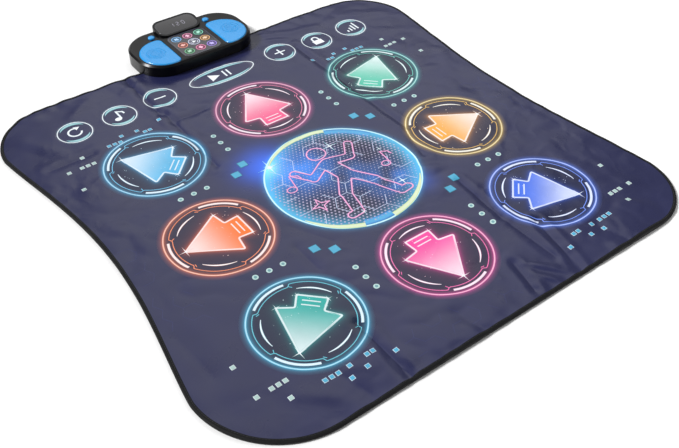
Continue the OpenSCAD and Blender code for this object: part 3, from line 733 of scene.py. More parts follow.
def close_tree(tree, instances, material):
    """Ends a geometry tree: real geometry, its material, and the output."""
    real = node(tree, "GeometryNodeRealizeInstances", None, {"Geometry": instances})
    painted = node(tree, "GeometryNodeSetMaterial", None, {
        "Geometry": real.outputs["Geometry"], "Material": material,
    })
    node(tree, "NodeGroupOutput", None, {"Geometry": painted.outputs["Geometry"]})
    return tree


def block_tree():
    """Geometry Nodes: a many-sided block on every point, turned and stretched by the point's own values."""
    tree, given = new_tree("Block on every point", [
        ("Sides", "NodeSocketInt"), ("Radius", "NodeSocketFloat"), ("Depth", "NodeSocketFloat"),
        ("Material", "NodeSocketMaterial"),
    ])
    block = node(tree, "GeometryNodeMeshCylinder", {"fill_type": "NGON"}, {
        "Vertices": given["Sides"], "Radius": given["Radius"], "Depth": given["Depth"],
    })
    turn = node(tree, "GeometryNodeInputNamedAttribute", {"data_type": "FLOAT"}, {"Name": "turn"})
    stretch = node(tree, "GeometryNodeInputNamedAttribute", {"data_type": "FLOAT_VECTOR"}, {
        "Name": "stretch",
    })
    spin = node(tree, "ShaderNodeCombineXYZ", None, {"Z": out_of(turn)})
    placed = node(tree, "GeometryNodeInstanceOnPoints", None, {
        "Points": given["Geometry"], "Instance": block.outputs["Mesh"],
        "Rotation": spin.outputs["Vector"], "Scale": out_of(stretch),
    })
    return close_tree(tree, placed.outputs["Instances"], given["Material"])


def stitch_tree():
    """Geometry Nodes: stitches along a path of edges, each lying along the path."""
    tree, given = new_tree("Stitches along a path", [
        ("Pitch", "NodeSocketFloat"), ("Length", "NodeSocketFloat"), ("Thread", "NodeSocketFloat"),
        ("Material", "NodeSocketMaterial"),
    ])
    path = node(tree, "GeometryNodeMeshToCurve", None, {"Mesh": given["Geometry"]})
    places = node(tree, "GeometryNodeCurveToPoints", {"mode": "LENGTH"}, {
        "Curve": path.outputs["Curve"], "Length": given["Pitch"],
    })
    thread = node(tree, "GeometryNodeMeshIcoSphere", None, {"Radius": 0.5, "Subdivisions": 2})
    size = node(tree, "ShaderNodeCombineXYZ", None, {
        "X": given["Thread"], "Y": given["Thread"], "Z": given["Length"],
    })
    placed = node(tree, "GeometryNodeInstanceOnPoints", None, {
        "Points": places.outputs["Points"], "Instance": thread.outputs["Mesh"],
        "Rotation": places.outputs["Rotation"], "Scale": size.outputs["Vector"],
    })
    return close_tree(tree, placed.outputs["Instances"], given["Material"])


def grown(name, source, tree, values):
    """The plain mesh that a geometry tree makes from a source mesh; values are its inputs by name."""
    carrier = bpy.data.objects.new(name + "_source", source)
    bpy.context.collection.objects.link(carrier)
    modifier = carrier.modifiers.new("Grow", "NODES")
    modifier.node_group = tree
    for item in tree.interface.items_tree:
        if item.in_out == "INPUT" and item.name in values:
            modifier[item.identifier] = values[item.name]
    depsgraph = bpy.context.evaluated_depsgraph_get()
    mesh = bpy.data.meshes.new_from_object(carrier.evaluated_get(depsgraph), depsgraph=depsgraph)
    carrier.modifiers.remove(modifier)
    bpy.data.objects.remove(carrier)
    mesh.name = name
    smooth(mesh)
    return mesh


def blocks(name, places, material, sides, radius, depth, turn=0.0, stretch=(1, 1, 1)):
    """Blocks on places (x, y, z) as a plain mesh; turn and stretch are one value or one for each place."""
    source = bpy.data.meshes.new(name + "_places")
    source.from_pydata((np.asarray(places, float) * MM).tolist(), [], [])
    turns = source.attributes.new("turn", "FLOAT", "POINT")
    turns.data.foreach_set("value", np.broadcast_to(np.asarray(turn, "f"), (len(places),)).copy())
    sizes = source.attributes.new("stretch", "FLOAT_VECTOR", "POINT")
    stretches = np.broadcast_to(np.asarray(stretch, "f"), (len(places), 3))
    sizes.data.foreach_set("vector", stretches.ravel().copy())
    tree = bpy.data.node_groups.get("Block on every point") or block_tree()
    return grown(name, source, tree, {
        "Sides": sides, "Radius": radius * MM, "Depth": depth * MM, "Material": material,
    })


def drape(mesh, paint, under=on_mat):
    """Lays a flat mesh on the sheet and paints it; paint is a function of x and y."""
    points = np.empty(len(mesh.vertices) * 3, "f")
    mesh.vertices.foreach_get("co", points)
    points = points.reshape(-1, 3).astype(float) / MM
    points[:, 2] += under(points[:, 0], points[:, 1])
    mesh.vertices.foreach_set("co", (points * MM).astype("f").ravel())
    colours = mesh.color_attributes.new("Print", "FLOAT_COLOR", "POINT")
    shades = np.clip(paint(points[:, 0], points[:, 1]), 0, 1)
    colours.data.foreach_set("color", np.column_stack([shades, np.ones(len(shades))]).astype("f").ravel())
    smooth(mesh)
    return mesh


# ---------- finishes ----------

# short name: name, colour, roughness and its wander, shader values, grain, patches, weave, crumple
FINISHES = {
    # Gravure-printed PVC film over foam: satin, with a leather-like calender grain under 1 mm
    "film": ("Printed satin PVC film", None, (0.31, 0.05),
             {"IOR": 1.5, "Coat Weight": 0.1, "Coat Roughness": 0.25},
             (0.9, 0.03), (60, 0.08), None, (75, 0.7)),
    # Screen-printed bright ink under a clear film: flat colour, a little glossier than the ground
    "ink": ("Screen-printed bright ink", None, (0.33, 0.05),
            {"IOR": 1.5, "Coat Weight": 0.1, "Coat Roughness": 0.25},
            (0.9, 0.02), (30, 0.04), None, (75, 0.7)),
    # Woven polyester tape: dull black with 0.9 mm ribs, drawn a little coarse to show
    "tape": ("Woven polyester binding tape", None, (0.7, 0.08),
             {"IOR": 1.5, "Specular IOR Level": 0.25, "Sheen Weight": 0.03, "Sheen Roughness": 0.5},
             (0.5, 0.02), (30, 0.2), (0.9, 0.12)),
    "thread": ("Twisted polyester thread", "#16171B", (0.6, 0.08),
               {"IOR": 1.5, "Sheen Weight": 0.3}, (0.3, 0.03), (10, 0.2), None),
    # Black non-woven backing with moulded PVC dots that grip the floor
    "backing": ("Non-woven grip backing", "#17181B", (0.85, 0.06),
                {"IOR": 1.5, "Sheen Weight": 0.15}, (0.7, 0.08), (40, 0.2), (1.6, 0.1)),
    "grip": ("Moulded PVC grip dots", "#0A0B0C", (0.5, 0.06), {"IOR": 1.52}, (0.5, 0.01), (20, 0.1), None),
    # Clear polyester film with silver-ink contacts: glossy pale grey
    "contact": ("Screen-printed polyester film", "#C6CBD2", (0.28, 0.06),
                {"IOR": 1.57, "Coat Weight": 0.4}, (2.0, 0.01), (25, 0.12), None),
    "spacer": ("Die-cut polyethylene spacer foam", "#DEDED8", (0.8, 0.05),
               {"IOR": 1.5}, (0.6, 0.08), (30, 0.06), None),
    # Open-cell polyurethane foam: grey, matt, with cells about 1 mm across
    "foam": ("Open-cell polyurethane foam", "#50535C", (0.92, 0.04),
             {"IOR": 1.5, "Sheen Weight": 0.2}, (1.0, 0.25), (25, 0.15), None),
    # Injection-moulded ABS, fine spark-eroded texture: satin black with soft broad highlights
    "abs": ("Satin black moulded ABS", None, (0.3, 0.04),
            {"IOR": 1.53, "Specular IOR Level": 0.22, "Coat Weight": 0.1, "Coat Roughness": 0.2},
            (0.35, 0.008), (35, 0.12), None),
    "accent": ("Blue moulded ABS", None, (0.27, 0.04),
               {"IOR": 1.53, "Coat Weight": 0.3, "Coat Roughness": 0.2}, (0.35, 0.006), (35, 0.05), None),
    # Polished cast acrylic tinted dark grey: deep gloss over a near-black layer
    "acrylic": ("Smoked acrylic window", "#0F0D13", (0.14, 0.03),
                {"IOR": 1.49, "Coat Weight": 0.45, "Coat Roughness": 0.06}, (6.0, 0.002), (40, 0.08), None),
    "panel": ("Back-printed polycarbonate panel", "#1B1C26", (0.26, 0.04),
              {"IOR": 1.58, "Coat Weight": 0.5, "Coat Roughness": 0.12}, (0.5, 0.004), (25, 0.08), None),
    "rubber": ("Moulded black rubber", "#141416", (0.78, 0.06), {"IOR": 1.52}, (0.5, 0.03), (12, 0.15), None),
    # Nickel over steel: bright, with a fine tumbled grain
    "nickel": ("Nickel-plated steel", "#B9B4A8", (0.26, 0.06), {"Metallic": 1.0},
               (0.4, 0.006), (8, 0.08), None),
    "zinc": ("Zinc-plated pressed steel", "#A7A9AC", (0.4, 0.08), {"Metallic": 1.0},
             (0.8, 0.01), (12, 0.12), None),
    "board": ("Solder-masked glass epoxy board", "#1C6A38", (0.36, 0.05),
              {"IOR": 1.55, "Coat Weight": 0.5}, (0.7, 0.02), (14, 0.16), (0.8, 0.02)),
    "parts": ("Moulded epoxy parts", "#1D1E21", (0.5, 0.06), {"IOR": 1.55}, (0.3, 0.01), (6, 0.12), None),
    "white": ("White moulded polystyrene", "#E4E3DE", (0.45, 0.05),
              {"IOR": 1.58, "Subsurface Weight": 0.08, "Subsurface Radius": (0.002, 0.002, 0.002)},
              (0.5, 0.01), (20, 0.04), None),
    "led": ("Clear epoxy over phosphor", "#F1EFC4", (0.18, 0.04),
            {"IOR": 1.53, "Coat Weight": 0.6}, (1.0, 0.01), (4, 0.05), None),
    "ferrite": ("Sintered ferrite", "#34343A", (0.62, 0.06), {"IOR": 2.0}, (0.3, 0.02), (8, 0.15), None),
    # Pressed paper pulp, black, with a fibrous bump about 0.6 mm
    "paper": ("Pressed paper cone", "#131418", (0.82, 0.06), {"IOR": 1.5}, (0.6, 0.06), (5, 0.2), None),
    "jacket": ("Shrink-wrapped cell jacket", "#B08F24", (0.3, 0.05),
               {"Metallic": 0.6, "Coat Weight": 0.5}, (3.0, 0.01), (20, 0.08), None),
    "wire": ("Extruded PVC wire jacket", "#9C2A2A", (0.42, 0.05), {"IOR": 1.53},
             (0.5, 0.01), (10, 0.1), None),
}


# ---------- the printed sheet ----------

WHITE = rgb("#F4FAFF")
MINT = rgb("#A9C6C2")
CYAN = rgb("#4AA8CC")
PINK_LINE = rgb("#F58CCB")
DISC_R = 135.0
SQUARE_HALF = 3.7


def sheet_print(x, y):
    """Printed colours of the sheet: the ground, and the glow of the centre disc."""
    ground = np.array(bpy.context.scene.dance_mat.ground)
    colour = np.broadcast_to(ground, (len(x), 3)).copy()
    r = np.hypot(x, y)
    disc = np.broadcast_to(rgb("#1A1B3C"), (len(x), 3)).copy()
    across = np.abs(x + y) / math.sqrt(2)
    along = (x - y) / math.sqrt(2)
    cloud = 0.55 + 0.45 * band(wave_set(21, 10, 30, 70), x, y)
    haze = np.exp(-(across / 44) ** 2) * (0.45 + 0.4 * np.exp(-((np.abs(along) - 72) / 46) ** 2)) * cloud
    nebula = np.exp(-((x + 62) ** 2 + (y - 62) ** 2) / 58 ** 2) * 0.8
    rim = np.exp(-((DISC_R - r) / 21) ** 2) * (0.5 + 0.5 * np.abs(np.cos(np.arctan2(y, x))) ** 1.5)
    disc += (
        haze[:, None] * rgb("#2A7CD8") + nebula[:, None] * rgb("#2478D8") * 0.9
        + rim[:, None] * rgb("#48B4E0")
    )
    hot = np.exp(-np.hypot(x + 90, y - 94) / 16)
    disc += hot[:, None] * rgb("#A8E4FF") * 0.8
    colour += (1 - ramp(r, DISC_R - 1, DISC_R + 1.5))[:, None] * (disc - colour)
    glow = np.exp(-np.maximum(r - DISC_R, 0) / 3.5) * (r >= DISC_R - 1) * 0.45
    patch_a = np.exp(-((x + 92) ** 2 + (y - 100) ** 2) / 44 ** 2) * (r > DISC_R - 1) * 0.8
    patch_b = np.exp(-((x - 96) ** 2 + (y + 92) ** 2) / 26 ** 2) * (r > DISC_R - 1) * 0.22
    colour += glow[:, None] * rgb("#48B8F0") + (patch_a + patch_b)[:, None] * rgb("#1C6CFF")
    return np.clip(colour, 0, 1)


def square_shade(x, y):
    """Grey mint near the corners, sky blue near the middle."""
    return mix(CYAN, MINT, ramp(np.abs(x), 290, 325))


def square_rim(x, y):
    """The pale rim round a printed dot or square."""
    return mix(square_shade(x, y), WHITE, np.full(len(x), 0.6))


def square_edge(x, y):
    """The darker line round a large square."""
    return square_shade(x, y) * 0.45


def print_squares():
    """The round dots and the squares scattered over the sheet."""
    film = material_of("ink")
    dots = [(s * 120, y, 0.1) for s in (-1, 1) for y in (230, 205, 180, -190, -215.5, -241)]
    dots += [(s * x, y, 0.1) for s in (-1, 1) for x in (204, 229, 254) for y in (111, -117)]
    for name, radius, depth, shade in (("dot_rims", 5.0, 0.3, "#B9D8D6"), ("dot_fills", 2.6, 0.7, "#6F9FA6")):
        round_dots = blocks(name, dots, film, 16, radius, depth)
        put(drape(round_dots, lambda x, y, code=shade: np.tile(rgb(code), (len(x), 1))))
    large = Ink()
    for x, y in [(s * x, y) for s in (-1, 1) for x, y in ((122, 129), (146, 110), (121, -138), (146, -119))]:
        for half, lift, shade in ((7.8, 0.3, square_edge), (6.9, 0.36, square_shade)):
            corners = [
                (x - half, y - half), (x + half, y - half), (x + half, y + half), (x - half, y + half),
            ]
            large.fill(dense(corners, 2.5, True), shade, lift, 2.5)
    large.piece("large_squares", film, "printed_pvc")
    places = []
    for x, y in (
        (372, 247), (373, 308), (337, 336), (243, 340), (224, 356), (252, 358), (175, 357), (327, 308),
        (338, 308), (349, 308), (262, 340), (273, 340), (284, 340), (202, 339), (212, 339),
    ):
        places += [(x, -y, 0.1), (-x, 4 - y, 0.1)]
    for x, y in (
        (372, 228), (373, 286), (337, 313), (223, 328), (253, 330), (175, 334), (327, 286),
        (338, 286), (349, 286), (262, 315), (273, 315), (284, 315), (202, 317), (212, 317),
    ):
        places += [(s * x, y, 0.1) for s in (-1, 1)]
    for name, rim, depth, shade in (
        ("square_rims", 0.0, 0.3, square_rim), ("square_fills", 0.8, 0.75, square_shade),
    ):
        reach = (SQUARE_HALF - rim) * 1.414
        sizes = [(reach, reach, 1)] * len(places)
        put(drape(blocks(name, places, film, 4, 1.0, depth, math.pi / 4, sizes), shade))


def print_lattice():
    """Faint honeycomb lines near the left and front edges."""
    ink = Ink()
    faint = rgb("#2B3060")
    side = 17.0
    dice = np.random.default_rng(5)
    inner = mat_outline(BINDING_W + 2)
    for corner_x, corner_y, wide, tall in ((-414, -150, 70, 190), (-150, -396, 190, 50), (330, -60, 80, 120)):
        for i in range(int(wide / (1.5 * side)) + 1):
            for j in range(int(tall / (1.732 * side)) + 1):
                cx, cy = corner_x + 1.5 * side * i, corner_y + 1.732 * side * (j + 0.5 * (i % 2))
                for k in range(3):
                    if dice.random() < 0.7:
                        a, b = np.radians(60 * k), np.radians(60 * (k + 1))
                        ends = dense([(cx + side * math.cos(t), cy + side * math.sin(t)) for t in (a, b)], 4)
                        x, y = ends[0]
                        clear = all(math.hypot(x - z[0], y - z[1]) > z[2] + 20 for z in ZONES.values())
                        if clear and inside(inner, ends).all():
                            ink.line(ends, 0.8, faint, faint, 0.08)
    ink.piece("printed_lattice", material_of("ink"), "printed_pvc")


def fold_points(loops):
    """Points along the fold lines and close to them, which keep the folds crisp."""
    found = []
    for x0, y0, x1, y1, _, width in CREASES:
        path = dense([(x0, y0), (x1, y1)], 4)
        side = np.array([y0 - y1, x1 - x0]) / math.hypot(x1 - x0, y1 - y0)
        found += [path + side * width * k for k in (-1.2, -0.5, 0, 0.5, 1.2)]
    found = np.vstack(found)
    keep = inside(loops[0], found)
    for hole in loops[1:]:
        keep &= ~inside(hole, found)
    rim = np.vstack(loops)
    apart = np.array([np.hypot(*(rim - point).T).min() > 2 for point in found])
    return found[keep & apart]


def build_sheet(settings):
    """The printed top cover, with a hole for every touch zone."""
    rim = mat_outline(BINDING_WALL)
    loops = [rim] + [zone_loop(name, SEAM) for name in ZONES]
    flat, tris = patch(loops, settings.sheet_step / MM, (DISC_R + 6, 3.0), [fold_points(loops)])
    top = on_mat(flat[:, 0], flat[:, 1])
    points, faces = thicken(flat, tris, top, top - (Z_MAT - Z_COVER))
    paint = sheet_print(flat[:, 0], flat[:, 1])
    mesh = mesh_of("printed_sheet", points, faces, material_of("film"), np.vstack([paint, paint]))
    sheet = put(mesh, MAT, ["top_cover"])
    print_squares()
    print_lattice()


def build_foam():
    """The cushion foam, which follows the sheet's creases."""
    loops = [mat_outline(BINDING_WALL, 75, 22)] + [zone_loop(name, 0.3) for name in ZONES]
    flat, tris = patch(loops, 11.0)
    low, high = extent("foam")
    top = np.minimum(high[2], high[2] + lay(flat[:, 0], flat[:, 1])) - 0.6
    for x0, y0, x1, y1, depth, width in CREASES:
        away, _ = to_segment(flat[:, 0], flat[:, 1], x0, y0, x1, y1)
        top -= FOLD_DEPTH * depth * np.exp(-np.maximum(away - 12, 0) / width)
    top = np.maximum(top, low[2] + 0.4)
    points, faces = thicken(flat, tris, top, np.full(len(flat), low[2]))
    piece = put(mesh_of("foam_layer", points, faces, material_of("foam")), MAT, ["foam"])


def build_backing(settings):
    """The grip backing under the mat, and its moulded dots."""
    low, high = extent("bottom_cover")
    pocket_low, pocket_high = extent("clamp_bar")
    rim = mat_outline(BINDING_W)
    pocket = soft_rect(*(pocket_high - pocket_low)[:2] + 2, 1, 1, 3)
    pocket += (pocket_low[:2] + pocket_high[:2]) / 2
    flat, tris = patch([rim, pocket], 16.0)
    points, faces = thicken(flat, tris, np.full(len(flat), high[2]), np.full(len(flat), 0.25))
    mesh = mesh_of("grip_backing", points, faces, material_of("backing"))
    sheet = put(mesh, MAT, ["bottom_cover"])
    places = lattice(low[:2], high[:2], settings.grip_pitch / MM)
    clear = inside(mat_outline(BINDING_W + 3), places) & ~inside(pocket, places)
    away = np.abs(places[:, 1] - pocket[:, 1].mean()) > np.ptp(pocket[:, 1]) / 2 + 4
    clear &= away | (np.abs(places[:, 0]) > np.ptp(pocket[:, 0]) / 2 + 4)
    places = np.column_stack([places[clear], np.full(clear.sum(), 0.16)])
    dots = put(blocks("grip_dots", places, material_of("grip"), 8, 2.2, 0.3))


def build_binding(settings):
    """The sewn tape round the edge, and its stitches."""
    top, wall = Z_LIP, BINDING_WALL
    section = [
        (FLAP_W, Z_MAT + 0.02), (FLAP_W + 0.1, top - 0.12), (FLAP_W - 0.3, top), (4, top), (2.4, top - 0.02),
        (1.2, top - 0.35), (0.45, top - 1.1), (0.08, top - 2.1), (0, top / 2), (0.08, 2.1), (0.4, 1.1),
        (1.1, 0.35), (2.2, 0.03), (6, 0), (BINDING_W - 0.4, 0), (BINDING_W, 0.12), (BINDING_W, 0.55),
        (wall + 0.4, 0.6),
        (wall, 1.0), (wall, Z_MAT - 0.6), (wall + 0.4, Z_MAT + 0.02),
    ]
    count = len(mat_outline(0))
    rows = []
    for inset, z in section:
        ring = mat_outline(inset)
        rise = lay(ring[:, 0], ring[:, 1]) * ramp(np.full(count, z), 0.6, Z_MAT - 0.3)
        rows.append(np.column_stack([ring, z + rise]))
    points = np.vstack(rows)
    faces = []
    for k in range(len(section)):
        a, b = k * count, (k + 1) % len(section) * count
        faces += [(a + i, b + i, b + (i + 1) % count, a + (i + 1) % count) for i in range(count)]
    tape = put(mesh_of("binding_tape", points, faces, material_of("tape"), sharp=60), MAT,
               ["edge_binding"])
    ring = mat_outline(FLAP_W - 1.6)
    seam = np.column_stack([ring, top + 0.05 + lay(ring[:, 0], ring[:, 1])]) * MM
    path = bpy.data.meshes.new("seam_path")
    path.from_pydata(seam.tolist(), [(i, (i + 1) % count) for i in range(count)], [])
    mesh = grown("binding_stitches", path, stitch_tree(), {
        "Pitch": settings.stitch_pitch, "Length": settings.stitch_pitch * 0.78, "Thread": 0.55 * MM,
        "Material": material_of("thread"),
    })
    put(mesh)
    return tape


# ---------- touch zones ----------

def arrow_corners():
    """The arrow's outline with its tip along +x."""
    tip, head, neck, tail = (60.5, 0), (-18, 49.5), (-23, 21.5), (-49, 24)
    upper = [head, neck, tail]
    return rounded([tip, *upper, *[(x, -y) for x, y in reversed(upper)]], 3.4)


def pad_print(u, v, ring, arrow):
    """Printed colours of an arrow pad: the ground, the neon ring's halo and the arrow's glow."""
    ground = np.array(bpy.context.scene.dance_mat.ground)
    r = np.hypot(u, v)
    colour = mix(np.broadcast_to(ground, (len(u), 3)), rgb("#15183A"), 1 - ramp(r, 84, 92))
    corners = arrow_corners()
    away = np.full(len(u), 1e9)
    for (x0, y0), (x1, y1) in zip(corners, np.roll(corners, -1, 0)):
        away = np.minimum(away, to_segment(u, v, x0, y0, x1, y1)[0])
    halo = 0.55 * np.exp(-np.abs(r - 88) / 2.3) + 0.1 * np.exp(-((r - 87) / 8) ** 2)
    glow = 0.6 * np.exp(-away / 3.0) + 0.09 * np.exp(-away / 13)
    return np.clip(colour + halo[:, None] * ring + glow[:, None] * arrow, 0, 1)


def ring_line(r_outer, r_inner):
    """The thin line inside the neon ring, which steps inwards under each of the three thick arcs."""
    turn = np.radians(np.arange(0, 360, 2.0))
    gap = np.abs((np.degrees(turn) + 60) % 120 - 60)
    reach = r_inner + (r_outer - r_inner) * ramp(gap, 27, 30.5)
    return np.column_stack([np.cos(turn), np.sin(turn)]) * reach[:, None]


def build_pad(name, settings):
    """One arrow pad: a padded disc with its print, and the bright ink on it."""
    heading, ring_code, arrow_code = PADS[name]
    ring, arrow = rgb(ring_code), rgb(arrow_code)
    cx, cy, _, _ = ZONES[name]
    low, _ = extent(name)
    flat, tris = patch([zone_loop(name, -SEAM)], settings.pad_step / MM)
    top = on_mat(flat[:, 0], flat[:, 1])
    points, faces = thicken(flat, tris, top, np.full(len(flat), low[2]))
    local = turned(flat - (cx, cy), -heading)
    paint = pad_print(local[:, 0], local[:, 1], ring, arrow)
    mesh = mesh_of(name + "_cover", points, faces, material_of("film"), np.vstack([paint, paint]))
    piece = put(mesh, name, [name])

    ink = Ink()
    pale, hot = mix(mix(ring, arrow, 0.4), WHITE, 0.1), mix(ring, WHITE, 0.42)
    arrow_pale = mix(arrow, WHITE, 0.45)
    outline = mix(arrow, WHITE, 0.75)

    def place(path):
        return turned(path, heading, cx, cy)

    ink.line(place(oval(0, 0, 88, 88, 190)), 2.7, hot, ring, 0.18, closed=True)
    ink.line(place(ring_line(79, 73)), 1.4, pale, pale, 0.12, closed=True)
    for k in range(3):
        ink.line(place(arc(0, 0, 80, 120 * k - 24, 48, 26)), 4.4, mix(ring, WHITE, 0.82), hot, 0.2)
        taper = 1.0 + 2.2 * np.sin(np.pi * np.linspace(0, 1, 25))
        ink.line(place(arc(0, 0, 66.5, 60 + 120 * k - 23.5, 47, 24)), taper, WHITE, pale, 0.2)
        for end in (-30, 30):
            ink.line(place(turned([(70.5, -2.6), (74, 2.2)], 120 * k + end)), 1.3, pale, pale, 0.13)
    corners = arrow_corners()

    def gradient(x, y):
        along = turned(np.column_stack([x, y]) - (cx, cy), -heading)[:, 0]
        return mix(arrow, mix(arrow, WHITE, 0.8), ramp(along, -44, 72) ** 1.2)

    ink.fill(place(corners), gradient, 0.12, 2.8)
    ink.line(place(dense(corners, 4, True)), 3.3, outline, arrow_pale, 0.18, closed=True)
    for u in (-30.5, -39.5):
        ink.line(place(dense([(u, -14), (u, 14)], 4)), 2.6, outline, arrow_pale, 0.18)
    star_x, star_y = place([(60, 0)])[0]
    ink.star(star_x, star_y, 13, WHITE, arrow_pale)
    for u, v, size in ((-48, 24, 7), (-18, -49, 8), (-49, -24, 5)):
        sx, sy = place([(u, v)])[0]
        ink.star(sx, sy, size, WHITE, arrow_pale)
    dice = np.random.default_rng(1000 + list(PADS).index(name))
    for _ in range(34):
        u, v = dice.uniform(-52, 46), dice.uniform(-50, 50)
        sx, sy = place([(u, v)])[0]
        size = dice.uniform(0.35, 0.8)
        fan = [(0, 1, 2), (0, 2, 3), (0, 3, 4), (0, 4, 5)]
        ink.add(oval(sx, sy, size, size, 6), fan, mix(arrow, WHITE, 0.6), 0.24)
    ink.piece(name + "_ink", material_of("ink"), "printed_pvc", name)


def key_icon(name):
    """A function key's icon as strokes and filled shapes about its middle: (kind, points, closed)."""
    if name == "key_start_pause":
        return [("fill", [(-20, -9), (-4, 0), (-20, 9)], True), ("line", [(4, -8), (4, 8)], False),
                ("line", [(11, -8), (11, 8)], False)]
    if name == "key_volume_down":
        return [("line", [(-9, 0), (9, 0)], False)]
    if name == "key_volume_up":
        return [("line", [(-9, 0), (9, 0)], False), ("line", [(0, -9), (0, 9)], False)]
    if name == "key_mode":
        stem = [(-0.6, -7), (-0.6, 11), (7, 7), (8, 2)]
        return [("fill", oval(-5, -7, 5, 4, 16), True), ("line", stem, False)]
    if name == "key_lock":
        return [("fill", [(-8, -10), (8, -10), (8, 1), (-8, 1)], True),
                ("line", np.vstack([[(-5, 1)], arc(0, 5, 5, 180, -180, 10), [(5, 1)]]), False)]
    if name == "key_memory":
        return [("line", arc(0, 0, 9, 60, 290, 22), False), ("fill", [(2, 12), (10, 9), (4, 3.5)], True)]
    return [("line", [(-9 + 6 * k, -9), (-9 + 6 * k, -4 + 5 * k)], False) for k in range(4)]


def build_key(name):
    """One function key: a padded disc, its printed ring and its icon."""
    cx, cy, a, b = ZONES[name]
    low, _ = extent(name)
    flat, tris = patch([zone_loop(name, -SEAM)], 3.0)
    top = on_mat(flat[:, 0], flat[:, 1])
    points, faces = thicken(flat, tris, top, np.full(len(flat), low[2]))
    ground = np.array(bpy.context.scene.dance_mat.ground)
    share = np.hypot((flat[:, 0] - cx) / a, (flat[:, 1] - cy) / b)
    teal = rgb("#1F9FAE")
    ends = np.abs(flat[:, 1] - cy) / b
    glow = np.exp(-((share - 0.86) / 0.09) ** 2) * ramp(ends, 0.35, 0.85) * 0.5 * (share < 0.9)
    paint = np.clip(ground + glow[:, None] * teal + np.exp(-np.abs(share - 0.9) / 0.03)[:, None] * 0.12, 0, 1)
    mesh = mesh_of(name + "_cover", points, faces, material_of("film"), np.vstack([paint, paint]))
    piece = put(mesh, name, [name])
    ink = Ink()
    ra, rb = a - 4.5, b - 4.5
    ink.line(oval(cx, cy, ra, rb, 80), 1.9, WHITE, mix(teal, WHITE, 0.6), 0.16, closed=True)
    for middle in (90, -90):
        turn = np.radians(middle + np.linspace(-58, 58, 30))
        path = np.column_stack([cx + (ra - 4.6) * np.cos(turn), cy + (rb - 4.6) * np.sin(turn)])
        taper = 0.4 + 6.2 * np.cos(np.linspace(-np.pi / 2, np.pi / 2, 30))
        ink.line(path, taper, rgb("#A5D0D6"), rgb("#4FA3AE"), 0.12)
    for kind, path, closed in key_icon(name):
        path = np.asarray(path, float) * 1.35 + (cx, cy)
        if kind == "fill":
            ink.fill(path, WHITE, 0.16, 3.0)
        else:
            ink.line(dense(path, 3, closed), 3.6, WHITE, mix(teal, WHITE, 0.7), 0.16, closed)
    ink.piece(name + "_ink", material_of("ink"), "printed_pvc", name)


# ---------- centre disc ----------

# The dancing pictogram: capsules from one end to the other, with their radius
FIGURE = [
    (-4, 74, -4, 74.1, 17), (-4, 38, 4, -2, 15), (-12, 42, -46, 22, 8.5), (-46, 22, -66, 52, 7.5),
    (6, 42, 40, 34, 8.5), (40, 34, 60, 66, 7.5), (-2, -6, -26, -42, 11), (-26, -42, -34, -82, 9.5),
    (10, -6, 36, -42, 11), (36, -42, 52, -84, 9.5), (-34, -90, -50, -92, 7.5), (54, -92, 70, -90, 7.5),
]


def figure_lines():
    """The outline of the joined capsules, as open runs of points."""
    runs = []
    for i, (x0, y0, x1, y1, r) in enumerate(FIGURE):
        heading = math.degrees(math.atan2(y1 - y0, x1 - x0))
        caps = [arc(x1, y1, r, heading - 90, 180, 16), arc(x0, y0, r, heading + 90, 180, 16)]
        loop = dense(np.vstack(caps), 1.6, True)
        covered = np.zeros(len(loop), bool)
        for j, (a0, b0, a1, b1, q) in enumerate(FIGURE):
            if i != j and not (i == 0 or j == 0):
                covered |= to_segment(loop[:, 0], loop[:, 1], a0, b0, a1, b1)[0] < q - 0.4
        if not covered.any():
            runs.append((loop, True))
            continue
        start = int(np.flatnonzero(covered)[0])
        loop, covered = np.roll(loop, -start, 0), np.roll(covered, -start)
        run = []
        for point, hidden in zip(loop, covered):
            if not hidden:
                run.append(point)
            elif run:
                runs.append((np.array(run), False))
                run = []
        if run:
            runs.append((np.array(run), False))
    return [(run, closed) for run, closed in runs if len(run) > 2]


